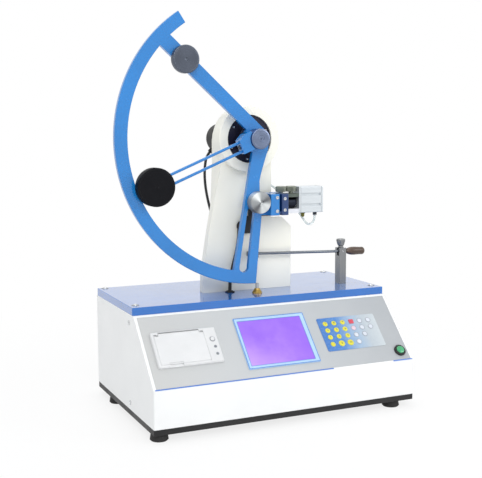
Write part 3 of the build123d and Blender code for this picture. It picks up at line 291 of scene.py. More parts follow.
def faced_steel(name):
    """Steel faced on a lathe: fine rings round the piece's Z, under a fan of painted highlights and painted
    shade.
    """
    s = Shader(name)
    x, y = s.axis("X"), s.axis("Y")
    reach = s.maths("SQRT", s.maths("ADD", s.maths("POWER", x, 2.0), s.maths("POWER", y, 2.0)))
    angle = s.maths("ARCTAN2", y, x)
    # A fan of painted highlight and painted shade, set by the angle round the axis.
    wide = s.maths("COSINE", s.maths("MULTIPLY", s.maths("ADD", angle, 0.9), 2.0))
    narrow = s.maths("COSINE", s.maths("MULTIPLY", s.maths("ADD", angle, 0.3), 5.0))
    painted_light_and_shade_lobes = s.maths("ADD", wide, s.maths("MULTIPLY", narrow, 0.35))
    rings = s.noise(1.0, 4.0, 0.6, s.node("ShaderNodeCombineXYZ",
                                          {0: s.maths("MULTIPLY", reach, 900.0)}).outputs[0])
    soft = s.maths("ADD", painted_light_and_shade_lobes, s.spread(rings, 0.2, 0.8, -0.18, 0.18))
    tone = s.ramp(s.spread(soft, -1.2, 1.3), [(0.0, linear(96, 98, 102)), (0.45, linear(160, 164, 166)),
                                              (0.75, linear(204, 208, 208)), (1.0, linear(236, 240, 240))])
    # Lighter edges: a painted highlight, partly edge wear.
    tone = s.mix(s.maths("MULTIPLY", s.edges(0.0004), 0.35), tone, linear(240, 242, 242))
    bumped = s.bump(rings, 0.04, 0.0001, s.rounded(0.0003))
    return s.finish(tone, s.spread(rings, 0.3, 0.7, 0.34, 0.44), bumped, Metallic=0.45)


def plastic(name, color, rough=0.42, grain=900.0, depth=0.05, shade=0.04, coat=0.0, through=0.0):
    """Moulded plastic or rubber with a fine spark-eroded grain."""
    s = Shader(name)
    base = linear(*color)
    dark = toned(base, 1 - shade * 2)
    light = toned(base, 1 + shade, 0.004)
    tone = s.mix(s.spread(s.noise(30.0, 5.0), 0.35, 0.65), dark, light)
    # Lighter edges: a painted highlight, partly edge wear.
    tone = s.mix(s.maths("MULTIPLY", s.edges(0.0005), 0.30), tone, toned(base, 1.15, 0.05))
    cells = s.node("ShaderNodeTexVoronoi", {"Vector": s.place, "Scale": grain}).outputs["Distance"]
    bumped = s.bump(cells, depth, 0.0001, s.rounded(0.0005))
    level = s.spread(s.noise(55.0, 3.0), 0.3, 0.7, rough * 0.85, rough * 1.15)
    return s.finish(tone, level, bumped, Coat_Weight=coat, Subsurface_Weight=through)


def wood(name):
    """Oiled hardwood turned along X, with pores and growth rings."""
    s = Shader(name)
    grain = s.noise(9.0, 8.0, 0.65, s.stretch((3.5, 46, 46)))
    rings = s.node("ShaderNodeTexWave", {"Vector": s.stretch((1.5, 24, 24)), "Scale": 1.6, "Distortion": 6.0,
                                         "Detail": 3.0}, bands_direction="Y").outputs["Fac"]
    tone = s.ramp(grain, [(0.28, linear(40, 28, 22)), (0.5, linear(78, 60, 47)), (0.72, linear(104, 80, 61))])
    tone = s.mix(s.spread(rings, 0.2, 0.9, 0.0, 0.35), tone, linear(66, 47, 37))
    pores = s.noise(70.0, 2.0, 0.5, s.stretch((3, 40, 40)))
    tone = s.mix(s.spread(pores, 0.62, 0.70, 0.0, 0.5), tone, linear(36, 25, 20))
    bumped = s.bump(pores, 0.25, 0.0003)
    return s.finish(tone, s.spread(grain, 0.3, 0.7, 0.30, 0.48), bumped, Coat_Weight=0.25, Coat_Roughness=0.2)


def lit_screen(name):
    """A backlit display under glass, violet, lighter and pinker towards its lower left."""
    s = Shader(name)
    left = s.spread(s.axis("X"), -0.065, 0.055)
    low = s.spread(s.axis("Z"), 0.092, 0.155)
    corner = s.maths("MULTIPLY", s.maths("SUBTRACT", 1.0, left), s.maths("SUBTRACT", 1.0, low))
    cloud = s.noise(22.0, 3.0)
    tone = s.mix(s.spread(cloud, 0.35, 0.7), linear(150, 98, 238), linear(164, 114, 243))
    tone = s.mix(s.spread(s.maths("ADD", corner, s.maths("MULTIPLY", cloud, 0.35)), 0.30, 0.95), tone,
                 linear(200, 158, 244))
    rows = s.node("ShaderNodeTexWave", {"Vector": s.place, "Scale": 900.0}, bands_direction="Z").outputs["Fac"]
    tone = s.mix(s.maths("MULTIPLY", rows, 0.05), tone, linear(136, 88, 228))
    s.finish(s.mix(0.5, tone, (0, 0, 0, 1)), s.spread(cloud, 0.3, 0.7, 0.10, 0.16),
             s.bump(s.noise(300.0), 0.02, 0.0001), Coat_Weight=0.6, Coat_Roughness=0.03, Emission_Strength=0.52)
    s.tree.links.new(tone, s.principled.inputs["Emission Color"])
    return s.material


def keypad_print(name):
    """Printed film that fades from blue on the left to white on the right."""
    s = Shader(name)
    across = s.spread(s.maths("ADD", s.axis("X"), s.spread(s.noise(30.0, 3.0), 0.0, 1.0, -0.006, 0.006)),
                      0.0895, 0.205)
    tone = s.ramp(across, [(0.0, linear(56, 116, 190)), (0.30, linear(70, 128, 196)),
                           (0.55, linear(152, 178, 205)), (0.78, linear(180, 190, 198)),
                           (1.0, linear(194, 202, 207))])
    fine = s.noise(260.0, 2.0)
    tone = s.mix(s.spread(fine, 0.4, 0.7, 0.0, 0.06), tone, linear(255, 255, 255))
    return s.finish(tone, s.spread(s.noise(60.0), 0.3, 0.7, 0.30, 0.42), s.bump(fine, 0.10, 0.0001),
                    Coat_Weight=0.15)


def panel_print(name):
    """Grey overlay on the panel, a little cooler and darker to the right."""
    s = Shader(name)
    across = s.spread(s.axis("X"), -0.23, 0.24)
    tone = s.ramp(across, [(0.0, linear(196, 197, 196)), (0.5, linear(191, 195, 198)),
                           (1.0, linear(168, 172, 176))])
    fleck = s.noise(900.0, 2.0)
    tone = s.mix(s.spread(fleck, 0.35, 0.65, 0.0, 0.10), tone, linear(158, 162, 168))
    tone = s.mix(s.spread(s.noise(12.0, 4.0), 0.4, 0.7, 0.0, 0.12), tone, linear(206, 208, 209))
    return s.finish(tone, s.spread(fleck, 0.3, 0.7, 0.34, 0.48), s.bump(fleck, 0.10, 0.0001), Coat_Weight=0.1)


def clear_tube(name):
    """Clear polyurethane: light passes, and the wall shows at the edges."""
    s = Shader(name)
    cloud = s.noise(80.0, 3.0)
    tone = s.mix(s.spread(cloud, 0.3, 0.7), linear(214, 226, 228), linear(240, 246, 246))
    return s.finish(tone, s.spread(cloud, 0.3, 0.7, 0.08, 0.18), None,
                    Transmission_Weight=0.72, IOR=1.45, Coat_Weight=0.3)


def bracket_paint(name):
    """Olive grey on the bracket's bar and near black on the plate below it."""
    s = Shader(name)
    bar_low = swing(0, -109, 0).z
    cloud = s.noise(30.0, 4.0)
    olive_tone = s.mix(s.spread(cloud, 0.35, 0.65), linear(74, 84, 76), linear(98, 108, 99))
    dark_tone = s.mix(s.spread(cloud, 0.35, 0.65), linear(16, 18, 24), linear(30, 33, 40))
    tone = s.mix(s.spread(s.axis("Z"), bar_low - 0.001, bar_low + 0.001), dark_tone, olive_tone)
    bumped = s.bump(s.noise(620.0, 2.0), 0.25, 0.0002, s.rounded(0.0005))
    return s.finish(tone, s.spread(cloud, 0.3, 0.7, 0.38, 0.5), bumped)


blue = enamel("blue_enamel", (18, 122, 198), shade=0.05, rough=0.24, peel=0.10, coat=0.7)
deck_blue = enamel("deck_enamel", (14, 104, 188), shade=0.03, rough=0.20, peel=0.05, coat=1.0, round_r=0.0004,
                   wear_and_highlight=0.1)
ivory = enamel("ivory_enamel", (250, 248, 236), shade=0.012, rough=0.42, peel=0.25, coat=0.15, round_r=0.0012,
               wear_and_highlight=0.5)
white = enamel("white_powder", (240, 241, 241), shade=0.012, rough=0.46, peel=0.45, coat=0.1, round_r=0.0010,
               wear_and_highlight=0.4)
black = enamel("black_powder", (18, 18, 20), shade=0.10, rough=0.55, peel=0.4, coat=0.1, wear_and_highlight=0.15)
white_bar = enamel("white_bar", (229, 231, 236), shade=0.02, rough=0.35, peel=0.2, coat=0.2)
bracket_dark = bracket_paint("olive_bracket")
steel = metal("ground_steel", (188, 190, 194), rough=0.26, brush=(1, 60, 60))
rod_steel = metal("drawn_rod", (128, 134, 142), rough=0.22, brush=(1, 50, 50), depth=0.06)
blade_steel = metal("blade_steel", (198, 202, 208), rough=0.16, brush=(70, 1, 6), depth=0.05)
bolt_steel = metal("bolt_steel", (150, 154, 160), rough=0.34, brush=(1, 1, 1), depth=0.05)
screw_steel = metal("screw_steel", (214, 216, 218), rough=0.22, brush=(1, 1, 1), depth=0.04)
post_steel = metal("post_steel", (146, 148, 150), rough=0.34, brush=(40, 40, 1), depth=0.08)
silver = metal("clear_anodised", (214, 220, 224), rough=0.42, brush=(1, 40, 40), depth=0.05, shade=0.03,
               full=0.55)
dark_alloy = metal("dark_anodised", (46, 50, 60), rough=0.34, brush=(1, 1, 1), depth=0.04, shade=0.05)
brass = metal("turned_brass", (176, 148, 82), rough=0.26, brush=(1, 1, 70), depth=0.08)
olive = metal("olive_anodised", (150, 156, 144), rough=0.32, brush=(1, 1, 60), depth=0.05, shade=0.14,
              full=0.85)
vent_brass = metal("olive_brass", (122, 118, 62), rough=0.42, brush=(1, 1, 60), shade=0.12)
# The jaw's blue is darker than the clamp's: painted shade, for the shadow the jaw stands in.
jaw_blue_painted_shade = enamel("jaw_enamel_painted_shade", (24, 58, 110), shade=0.06, rough=0.3, coat=0.4)
rubber = plastic("rubber", (22, 22, 22), rough=0.7, grain=1400.0, depth=0.4, shade=0.12)
white_abs = plastic("white_abs", (220, 221, 222), rough=0.38, grain=1500.0, depth=0.12, shade=0.012)
door_abs = plastic("door_abs", (222, 223, 224), rough=0.34, grain=1500.0, depth=0.12, shade=0.012)
black_abs = plastic("black_abs", (14, 14, 15), rough=0.55, grain=1200.0, depth=0.25, shade=0.1)
hose_black = plastic("hose_black", (24, 25, 27), rough=0.5, grain=800.0, depth=0.15, shade=0.1)
green_cap = plastic("green_cap", (58, 170, 112), rough=0.16, grain=300.0, depth=0.02, shade=0.06, coat=0.7,
                    through=0.3)
key_yellow = plastic("key_yellow", (222, 214, 66), rough=0.36, shade=0.05)
key_red = plastic("key_red", (216, 74, 92), rough=0.36, shade=0.05)
key_pink = plastic("key_pink", (226, 200, 212), rough=0.36, shade=0.03)
key_pale = plastic("key_pale", (212, 218, 228), rough=0.36, shade=0.03)
ink = plastic("printed_ink", (52, 74, 96), rough=0.5, shade=0.08)
ink_grey = plastic("printed_grey", (150, 154, 164), rough=0.5, shade=0.08)
lamp_grey = plastic("lamp_grey", (140, 142, 146), rough=0.2, grain=500.0, depth=0.02, coat=0.5, through=0.2)
stripe_blue = plastic("stripe_film", (84, 128, 208), rough=0.35, shade=0.03)
bezel_blue = plastic("bezel_blue", (176, 210, 246), rough=0.26, shade=0.03, coat=0.3)
bezel_line = plastic("bezel_line", (98, 142, 208), rough=0.3, shade=0.03, coat=0.2)
paper = plastic("thermal_paper", (244, 244, 240), rough=0.6, grain=1100.0, depth=0.15, shade=0.01)
board = plastic("board_green", (24, 92, 52), rough=0.35, grain=700.0, depth=0.2, shade=0.1, coat=0.3)
big_weight = turned_metal("weight_black", (9, 10, 16), rough=0.55, anisotropy=0.2, metallic=0.0, shade=0.06,
                          specular=0.15)
disc_steel = turned_metal("weight_blued", (92, 98, 110), rough=0.36, anisotropy=0.45, shade=0.05)
cap_alloy = turned_metal("cap_alloy", (120, 132, 158), rough=0.30, anisotropy=0.5, shade=0.05)
knob_steel = faced_steel("knob_steel")
flange_steel = turned_metal("flange_blued", (12, 12, 44), rough=0.46, anisotropy=0.2, centre=swing(0, 0, 0),
                            axis="Y", metallic=0.25, coat=0.1)
bearing_steel = turned_metal("bearing_steel", (170, 174, 182), rough=0.2, centre=swing(0, 0, 0), axis="Y",
                             anisotropy=0.4)
wood_brown = wood("oiled_wood")
screen_lit = lit_screen("screen_lit")
keypad_film = keypad_print("keypad_film")
panel_film = panel_print("panel_film")
tube_clear = clear_tube("tube_clear")

node_materials = {
    "base_plate": black, "feet": rubber, "housing": white, "front_panel": panel_film, "top_plate": deck_blue,
    "housing_screws": screw_steel, "power_inlet": black_abs, "power_rocker": black_abs, "air_inlet": brass,
    "control_board": board, "solenoid_valve": silver, "printer_body": white_abs, "printer_door": door_abs,
    "paper_roll": paper, "feed_button": white_abs, "display_frame": bezel_blue, "display_glass": screen_lit,
    "keypad": keypad_film, "keys": key_yellow, "button_bezel": black_abs, "start_button": green_cap,
    "column": ivory, "column_screws": bolt_steel, "bearing_flange": flange_steel,
    "pivot_bearings": bearing_steel, "pivot_shaft": steel, "encoder": black_abs, "encoder_cable": hose_black,
    "grommets": rubber, "pendulum_frame": blue, "pivot_hub": flange_steel, "hub_cap": cap_alloy,
    "rod_block": blue, "balance_rods": blue, "main_weight": big_weight, "upper_weight": disc_steel,
    "clamp_body": blue, "clamp_screws": screw_steel, "clamp_jaw": jaw_blue_painted_shade, "jaw_screws": screw_steel,
    "clamp_knob": knob_steel, "clamp_bracket": bracket_dark, "fixed_clamp": blue, "fixed_jaw": blue,
    "jaw_plunger": dark_alloy, "setting_screws": olive, "air_cylinder": silver, "cylinder_foot": white_bar,
    "vent_fitting": vent_brass, "push_fittings": black_abs, "air_tube": tube_clear, "supply_hose": hose_black,
    "knife_post": post_steel, "knife_lever": rod_steel, "knife_blade": blade_steel, "lever_handle": wood_brown,
    "lever_pin": steel, "lock_knob": post_steel, "release_pin": steel, "pin_bush": brass,
}
for node, made in node_materials.items():
    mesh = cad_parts[node].data
    mesh.materials.clear()
    mesh.materials.append(made)

# Cords, with the same route points as the solids


def free_cord(name, node, route, diameter, material, stiffness, **facts):
    curve = bpy.data.curves.new(name, "CURVE")
    curve.dimensions = "3D"
    curve.bevel_depth = diameter / 2
    curve.bevel_resolution = 6
    curve.resolution_u = 12
    curve.use_fill_caps = True
    spline = curve.splines.new("NURBS")
    spline.points.add(len(route) - 1)
    for point, place in zip(spline.points, route):
        point.co = (*place, 1)
    spline.order_u = 3
    spline.use_endpoint_u = True
    curve.materials.append(material)
    piece = bpy.data.objects.new(name, curve)
    bpy.context.scene.collection.objects.link(piece)
    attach(piece, "root")
    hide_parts(node)
    return piece


GLAND = radians(228.0)
gland_dir = Vector((cos(GLAND), 0, sin(GLAND)))
cable_start = swing(0, 0, 290) + gland_dir * 0.034
signal_route = [cable_start, cable_start + gland_dir * 0.010, at(205.8, 290, 404), at(205.2, 290, 383),
                at(207.4, 290, 361), at(211.8, 289.6, 338.5), at(217.6, 289, 316), at(223.4, 288.6, 293),
                at(228.2, 288.2, 268.5), at(231.0, 287.4, 243), at(232.2, 286.8, 220), at(231.6, 287, 200.7),
                at(231.6, 287, 187.7)]
free_cord("signal_cable", "encoder_cable", signal_route, 0.005, hose_black, "medium", length=0.248)

hose_route = [at(222, 171, 298), at(222, 171, 286.5), at(219.2, 170.6, 268), at(214.2, 170.2, 248.5),
              at(208.6, 169.7, 229), at(204.4, 169.2, 211), at(203, 168.8, 199.7), at(203, 168.8, 187.7)]
free_cord("feed_hose", "supply_hose", hose_route, 0.006, hose_black, "stiff", length=0.1125)

tube_route = [at(368, 158.4, 317), at(368, 158.4, 310.5), at(364.8, 159, 302.8), at(357.5, 161, 299.4),
              at(351.2, 163.8, 304), at(348.3, 169, 312.5), at(344.5, 177, 322), at(338.5, 185.5, 332.5),
              at(330.5, 193.5, 344), at(320.5, 200, 355), at(310.5, 204.2, 364.5), at(301, 206, 372),
              at(293, 206, 372)]
free_cord("clear_air_tube", "air_tube", tube_route, 0.004, tube_clear, "medium", length=0.135)

# Mesh helpers


def seat(origin, out, across=None):
    """A frame at a point, its Z along out."""
    z = out.normalized()
    x = (across or (RIGHT if abs(z.x) < 0.9 else UP)).normalized()
    y = z.cross(x).normalized()
    x = y.cross(z)
    turn = Matrix((x, y, z)).transposed().to_4x4()
    return Matrix.Translation(origin) @ turn


def piece(name, build, material, body, slot, places=(Matrix(),), smooth=28, replaces=()):
    """A piece that build fills in millimetres, copied to each place, the first of them its own frame."""
    bm = bmesh.new()
    first = places[0]
    for place in places:
        part = bmesh.new()
        build(part)
        bmesh.ops.scale(part, vec=(0.001, 0.001, 0.001), verts=part.verts)
        part.transform(first.inverted() @ place)
        mesh = bpy.data.meshes.new("part")
        part.to_mesh(mesh)
        part.free()
        bm.from_mesh(mesh)
        bpy.data.meshes.remove(mesh)
    bmesh.ops.recalc_face_normals(bm, faces=bm.faces)
    mesh = bpy.data.meshes.new(name)
    bm.to_mesh(mesh)
    bm.free()
    mesh.materials.append(material)
    mesh.shade_smooth()
    mesh.set_sharp_from_angle(angle=radians(smooth))
    made = bpy.data.objects.new(name, mesh)
    made.matrix_world = first
    bpy.context.scene.collection.objects.link(made)
    bpy.context.view_layer.update()
    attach(made, body)
    if replaces:
        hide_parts(*replaces)
    return made


def circle(r, angle):
    return r


def hexagon(r, angle):
    """r is half the width across flats."""
    return r / cos((angle + pi / 6) % (pi / 3) - pi / 6)


def knurl(count, depth):
    def shape(r, angle):
        return r - depth * abs(((angle * count / (2 * pi)) % 1.0) * 2 - 1)
    return shape


def lathe(profile, segments=48):
    """Turns points of radius, height and an optional shape about Z."""
    def build(bm):
        rings = []
        for point in profile:
            r, h = point[0], point[1]
            shape = point[2] if len(point) > 2 else circle
            if r == 0:
                rings.append([bm.verts.new((0, 0, h))])
                continue
            ring = []
            for index in range(segments):
                angle = 2 * pi * index / segments
                reach = shape(r, angle)
                ring.append(bm.verts.new((reach * cos(angle), reach * sin(angle), h)))
            rings.append(ring)
        for low, high in zip(rings, rings[1:]):
            for index in range(segments):
                after = (index + 1) % segments
                if len(low) == 1:
                    bm.faces.new((low[0], high[index], high[after]))
                elif len(high) == 1:
                    bm.faces.new((low[index], low[after], high[0]))
                else:
                    bm.faces.new((low[index], low[after], high[after], high[index]))
        for ring in (rings[0], rings[-1]):
            if len(ring) > 1:
                bm.faces.new(ring)
    return build


def rounded_outline(x0, y0, x1, y1, r, steps=6):
    """Corner points of a rounded rectangle."""
    points = []
    for cx, cy, start in ((x1 - r, y1 - r, 0), (x0 + r, y1 - r, 90), (x0 + r, y0 + r, 180),
                          (x1 - r, y0 + r, 270)):
        for step in range(steps + 1):
            a = radians(start + 90 * step / steps)
            points.append((cx + r * cos(a), cy + r * sin(a)))
    return points


def slab(outline, low, high, edge=0.0, hole=None):
    """An outline raised from low to high, its top edge bevelled, with a hole of as many points."""
    def inset(points, amount):
        cx = sum(p[0] for p in points) / len(points)
        cy = sum(p[1] for p in points) / len(points)
        moved = []
        for x, y in points:
            far = max(1e-6, hypot(x - cx, y - cy))
            moved.append((x - amount * (x - cx) / far, y - amount * (y - cy) / far))
        return moved

    def build(bm):
        levels = [(outline, low), (outline, high - edge)]
        if edge > 0:
            levels += [(inset(outline, edge * 0.3), high - edge * 0.3), (inset(outline, edge), high)]
        loops = [[bm.verts.new((x, y, h)) for x, y in points] for points, h in levels]
        if hole:
            loops.append([bm.verts.new((x, y, high)) for x, y in hole])
            loops.append([bm.verts.new((x, y, low)) for x, y in hole])
        count = len(outline)
        pairs = list(zip(loops, loops[1:]))
        if hole:
            pairs.append((loops[-1], loops[0]))
        for one, other in pairs:
            for index in range(count):
                after = (index + 1) % count
                bm.faces.new((one[index], one[after], other[after], other[index]))
        if not hole:
            bm.faces.new(loops[0])
            bm.faces.new(loops[-1])
    return build


def together(*builders):
    def build(bm):
        for builder in builders:
            builder(bm)
    return build


def on_panel(x=0.0, s=0.0, h=0.0):
    return seat(panel(x, s, h), PANEL_OUT, RIGHT)


# Screws with hexagon sockets


def hex_head(socket, floor, lip, rim, segments=60):
    """A round head with a hexagon socket from floor to lip, and rim the points outside it."""
    return lathe([(0, floor), (socket, floor, hexagon), (socket, lip, hexagon), *rim, (0, 0)], segments)


deck_screw_places = [seat(at(x, y, DECK_Z), UP) for x in (12.0, CABINET_W - 12.0) for y in (122.0, 302.0)]
walls = ((0, -1), (CABINET_W, 1))
wall_screw_places = [seat(at(x, 120.0, z), RIGHT * out) for z in (157.0, 22.0) for x, out in walls]
domed = hex_head(1.5, 0.9, 1.9, [(1.8, 2.4), (2.6, 2.25), (3.5, 1.7), (4.2, 0.8), (4.5, 0)], 72)
flat_dome = hex_head(1.4, 0.3, 0.9, [(1.7, 1.2), (2.8, 1.1), (3.8, 0.7), (4.5, 0)], 72)
piece("deck_screw_heads", domed, screw_steel, "root", "steel", deck_screw_places, replaces=["housing_screws"])
piece("wall_screw_heads", flat_dome, screw_steel, "root", "steel", wall_screw_places)
washer = lathe([(4.6, 0), (6.4, 0), (6.4, 0.35), (6.1, 0.5), (4.7, 0.5), (4.6, 0)], 48)
piece("deck_screw_washers", washer, bolt_steel, "root", "steel", deck_screw_places)

bolt_foot = DECK_Z + BASE_FLANGE_T
column_bolt_places = [seat(at(x, y, bolt_foot), UP) for x in (216.0, 264.0) for y in (208.0, 240.0)]
bolt_head = hex_head(3.0, 3.5, 7.85, [(3.35, 8.0), (5.5, 8.0), (6.25, 7.65), (6.5, 7.0), (6.5, 0)], 72)
piece("column_bolt_heads", bolt_head, bolt_steel, "root", "dark_steel", column_bolt_places,
      replaces=["column_screws"])

swing_screw_places = [seat(swing(u, v, CLAMP_FRONT_Y), FRONT) for u, v in ((33.3, -102.0), (33.4, -125.6))]
small_head = hex_head(1.3, 0.4, 1.2, [(1.55, 1.4), (2.6, 1.35), (3.1, 0.9), (3.2, 0)])
piece("swing_clamp_screws", small_head, screw_steel, "pendulum", "steel", swing_screw_places,
      replaces=["clamp_screws"])
jaw_screw_places = [seat(swing(48.3, v, CLAMP_FRONT_Y), FRONT) for v in (-104.2, -124.2)]
tiny_head = hex_head(1.2, 0.4, 1.1, [(1.45, 1.3), (2.4, 1.25), (2.9, 0.8), (3.0, 0)])
piece("swing_jaw_screws", tiny_head, screw_steel, "swing_jaw", "steel", jaw_screw_places,
      replaces=["jaw_screws"])

FLANGE_SCREW_CIRCLE = 35.5
flange_places = []
for index in range(6):
    angle = radians(24.3 + 60 * index)
    u, v = FLANGE_SCREW_CIRCLE * cos(angle), FLANGE_SCREW_CIRCLE * sin(angle)
    flange_places.append(seat(swing(u, v, FLANGE_FRONT_Y), FRONT))
flange_head = hex_head(1.1, 0.1, 1.0, [(1.3, 1.2), (2.0, 1.2), (2.3, 0.9), (2.3, 0)], 48)
piece("flange_screws", flange_head, screw_steel, "root", "steel", flange_places)

# Clamp knob, faced on a lathe with a knurled rim

grip = knurl(90, 0.55)
turned_knob = lathe([(0, 17.6), (3.4, 17.6), (3.6, 17.3), (4.6, 17.3), (5.0, 18.7), (17.4, 18.7), (18.4, 18.3),
                     (18.9, 17.4), (KNOB_R, 16.4, grip), (KNOB_R, 2.3, grip), (18.7, 1.2), (17.9, 0), (5.0, 0),
                     (5.0, -8.0), (0, -8.0)], 360)
knob_place = seat(swing(1.5, CLAMP_MID_V, FRAME_FRONT_Y - 0.3), FRONT)
piece("turned_knob", turned_knob, knob_steel, "knob", "steel", [knob_place], smooth=35,
      replaces=["clamp_knob"])

# Knurled setting screws on the standing clamp

fine_grip = knurl(32, 0.9)
setting_places = [seat(swing(u, -98.0, 159.4), UP) for u in (60.4, 80.4)]
setting_screw = hex_head(1.7, 12.6, 13.4, [
    (7.4, 13.4), (8.2, 13.2), (9.2, 12.5), (9.6, 11.6, fine_grip), (9.6, 4.4, fine_grip), (9.0, 3.6),
    (8.4, 3.2), (4.0, 3.2), (4.0, 0)], 256)
piece("knurled_setting_screws", setting_screw, olive, "root", "olive_alloy", setting_places, smooth=40,
      replaces=["setting_screws"])

# Lock knob on the knife post, flared and fluted

flute = knurl(20, 0.5)
lock_knob = lathe([(0, 15.3), (2.2, 15.3), (2.6, 16.2), (6.6, 16.2), (7.5, 15.9), (8.1, 15.2),
                   (8.4, 13.9, flute), (8.3, 12.4, flute), (7.2, 8.4, flute), (6.0, 4.2), (4.6, 3.0),
                   (4.6, 2.0), (5.2, 1.2), (5.2, 0), (0, 0)], 120)
piece("flared_lock_knob", lock_knob, post_steel, "lock", "steel", [seat(at(431.0, 170.5, 252.3), UP)],
      smooth=35, replaces=["lock_knob"])

# Hub cap with a stepped face and a locking screw at its middle

hub_face = lathe([(0, -1.2), (1.5, -1.2, hexagon), (1.5, -0.3, hexagon), (2.0, 0.15), (3.6, 0.15), (4.0, -0.2),
                  (4.3, -0.5), (6.3, -0.5), (6.5, 0), (12.6, 0), (12.9, -0.25), (13.2, -0.25), (13.5, 0),
                  (16.0, 0), (17.2, -0.6), (17.7, -1.8), (17.7, -22.0), (0, -22.0)], 96)
piece("hub_face", hub_face, cap_alloy, "pendulum", "grey_alloy", [seat(swing(0, 0, 114.0), FRONT)],
      replaces=["hub_cap"])

# Screw between the two balance rods, on the rod block's end


def along_rods(reach, y):
    """A point between the balance rods, at a reach from the axis."""
    return swing(reach * cos(ROD_ANGLE), reach * sin(ROD_ANGLE), y)


rods_out = Vector((cos(ROD_ANGLE), 0, sin(ROD_ANGLE)))
rods_y = (WEIGHT_FRONT_Y + FRAME_FRONT_Y) / 2
rod_screw = hex_head(1.6, 0.6, 2.2, [(1.9, 2.5), (3.3, 2.5), (3.9, 1.9), (3.9, 0)])
piece("rod_block_screw", rod_screw, disc_steel, "pendulum", "dark_steel",
      [seat(along_rods(ROD_BLOCK_END, rods_y), rods_out)])

# Balance weights, turned, with a stepped rim

weight_place = seat(along_rods(WEIGHT_REACH, WEIGHT_FRONT_Y), FRONT)
main_weight = lathe([(0, 0), (3.0, 0), (3.3, -0.3), (3.6, 0), (29.2, 0), (29.6, -0.25), (30.0, 0), (31.4, -0.1),
                     (WEIGHT_R - 0.25, -0.5), (WEIGHT_R, -1.1), (WEIGHT_R, 1.1 - WEIGHT_T),
                     (31.9, 0.4 - WEIGHT_T), (31.2, -WEIGHT_T), (0, -WEIGHT_T)], 144)
piece("turned_main_weight", main_weight, big_weight, "pendulum", "black_steel", [weight_place],
      replaces=["main_weight"])
upper_place = seat(swing(-131.0, 132.0, FRAME_FRONT_Y), FRONT)
upper_weight = lathe([(0, 0), (UPPER_WEIGHT_R, 0), (UPPER_WEIGHT_R, UPPER_WEIGHT_T - 1.1), (23.0, 10.6),
                      (22.2, UPPER_WEIGHT_T), (20.8, UPPER_WEIGHT_T), (20.5, 10.8), (20.2, UPPER_WEIGHT_T),
                      (3.2, UPPER_WEIGHT_T), (2.9, 10.4), (1.4, 10.2), (0, 9.6)], 128)
piece("turned_upper_weight", upper_weight, disc_steel, "pendulum", "dark_steel", [upper_place],
      replaces=["upper_weight"])

# Printer: lamps, ring round the feed key, and the tear edge over the paper's way out

lamp_places = [on_panel(PRINTER_LEFT + 104.0, PRINTER_LOW + s, PRINTER_FACE) for s in (28.4, 15.0)]
piece("printer_lamps", lathe([(0, 0.9), (0.9, 0.75), (1.6, 0.2), (1.75, 0), (1.75, -0.8), (0, -0.8)], 32),
      lamp_grey, "root", "white_plastic", lamp_places)
piece("lamp_rings", lathe([(1.8, 0), (2.7, 0), (2.7, 0.15), (2.5, 0.3), (1.9, 0.3), (1.8, 0)], 40), ink_grey,
      "root", "white_plastic", lamp_places)
piece("feed_key_ring", lathe([(4.0, 0), (4.8, 0), (4.8, 0.12), (4.7, 0.25), (4.1, 0.25), (4.0, 0)], 56),
      ink_grey, "root", "white_plastic", [on_panel(120.2, 79.8, PRINTER_FACE)])


def tear_edge(bm):
    teeth = 40
    width = 58.0
    verts = []
    for index in range(teeth * 2 + 1):
        x = width * index / (teeth * 2)
        s = 0.9 if index % 2 else 0.0
        verts.append((bm.verts.new((x, -s, 0.5)), bm.verts.new((x, 1.6, 0.5)), bm.verts.new((x, -s, 0.0)),
                      bm.verts.new((x, 1.6, 0.0))))
    for one, other in zip(verts, verts[1:]):
        bm.faces.new((one[0], other[0], other[1], one[1]))
        bm.faces.new((one[3], other[3], other[2], one[2]))
        bm.faces.new((one[0], one[2], other[2], other[0]))
        bm.faces.new((one[1], other[1], other[3], one[3]))
    for end in (verts[0], verts[-1]):
        bm.faces.new((end[0], end[1], end[3], end[2]))


piece("printer_tear_edge", tear_edge, steel, "door", "steel", [on_panel(39.5, 43.4, 2.6)])

# Panel trim: the blue line along the fold, and the display's outline

piece("panel_stripe", together(slab(rounded_outline(3, 0.25, 320, 2.35, 0.3, 2), 0, 0.22, 0.08),
                               slab(rounded_outline(438.5, 0.25, 477.5, 2.35, 0.3, 2), 0, 0.22, 0.08)),
      stripe_blue, "root", "display_bezel", [on_panel()])
frame_out = rounded_outline(168.4, 17.4, 300.6, 115.6, 1.5)
frame_in = rounded_outline(169.8, 18.8, 299.2, 114.2, 1.0)
piece("display_outline", slab(frame_out, 1.0, 2.18, 0.0, frame_in), bezel_line, "root", "display_bezel",
      [on_panel()])
gasket_out = rounded_outline(173.4, 22.4, 292.7, 109.6, 1.0)
gasket_in = rounded_outline(174.2, 23.2, 291.9, 108.8, 0.6)
piece("screen_gasket", slab(gasket_out, 1.2, 2.12, 0.0, gasket_in), bezel_line, "root", "display_bezel",
      [on_panel()])

# Keypad: domed keys by colour, plain numbers on the yellow ones

KEY_ROWS = (54.3, 40.7, 27.1, 13.0)
KEYS_PER_COLUMN = (4, 4, 4, 4, 3, 2)
FIRST_KEY = 13.7
KEY_PITCH = 17.35
NUMBER_SIZE = 5.4


def key_place(column, row):
    return on_panel(KEYPAD_LEFT + FIRST_KEY + KEY_PITCH * column, KEYPAD_LOW + KEY_ROWS[row], KEYPAD_T)


def dome(r, height=1.15):
    return lathe([(0, height), (r * 0.45, height - 0.02), (r * 0.75, height - 0.10), (r - 0.7, height - 0.32),
                  (r - 0.15, 0.35), (r, 0), (0, 0)], 48)


def ring(r):
    return lathe([(r - 0.7, 0), (r, 0), (r, 0.25), (r - 0.2, 0.4), (r - 0.5, 0.4), (r - 0.7, 0.25),
                  (r - 0.7, 0)], 48)


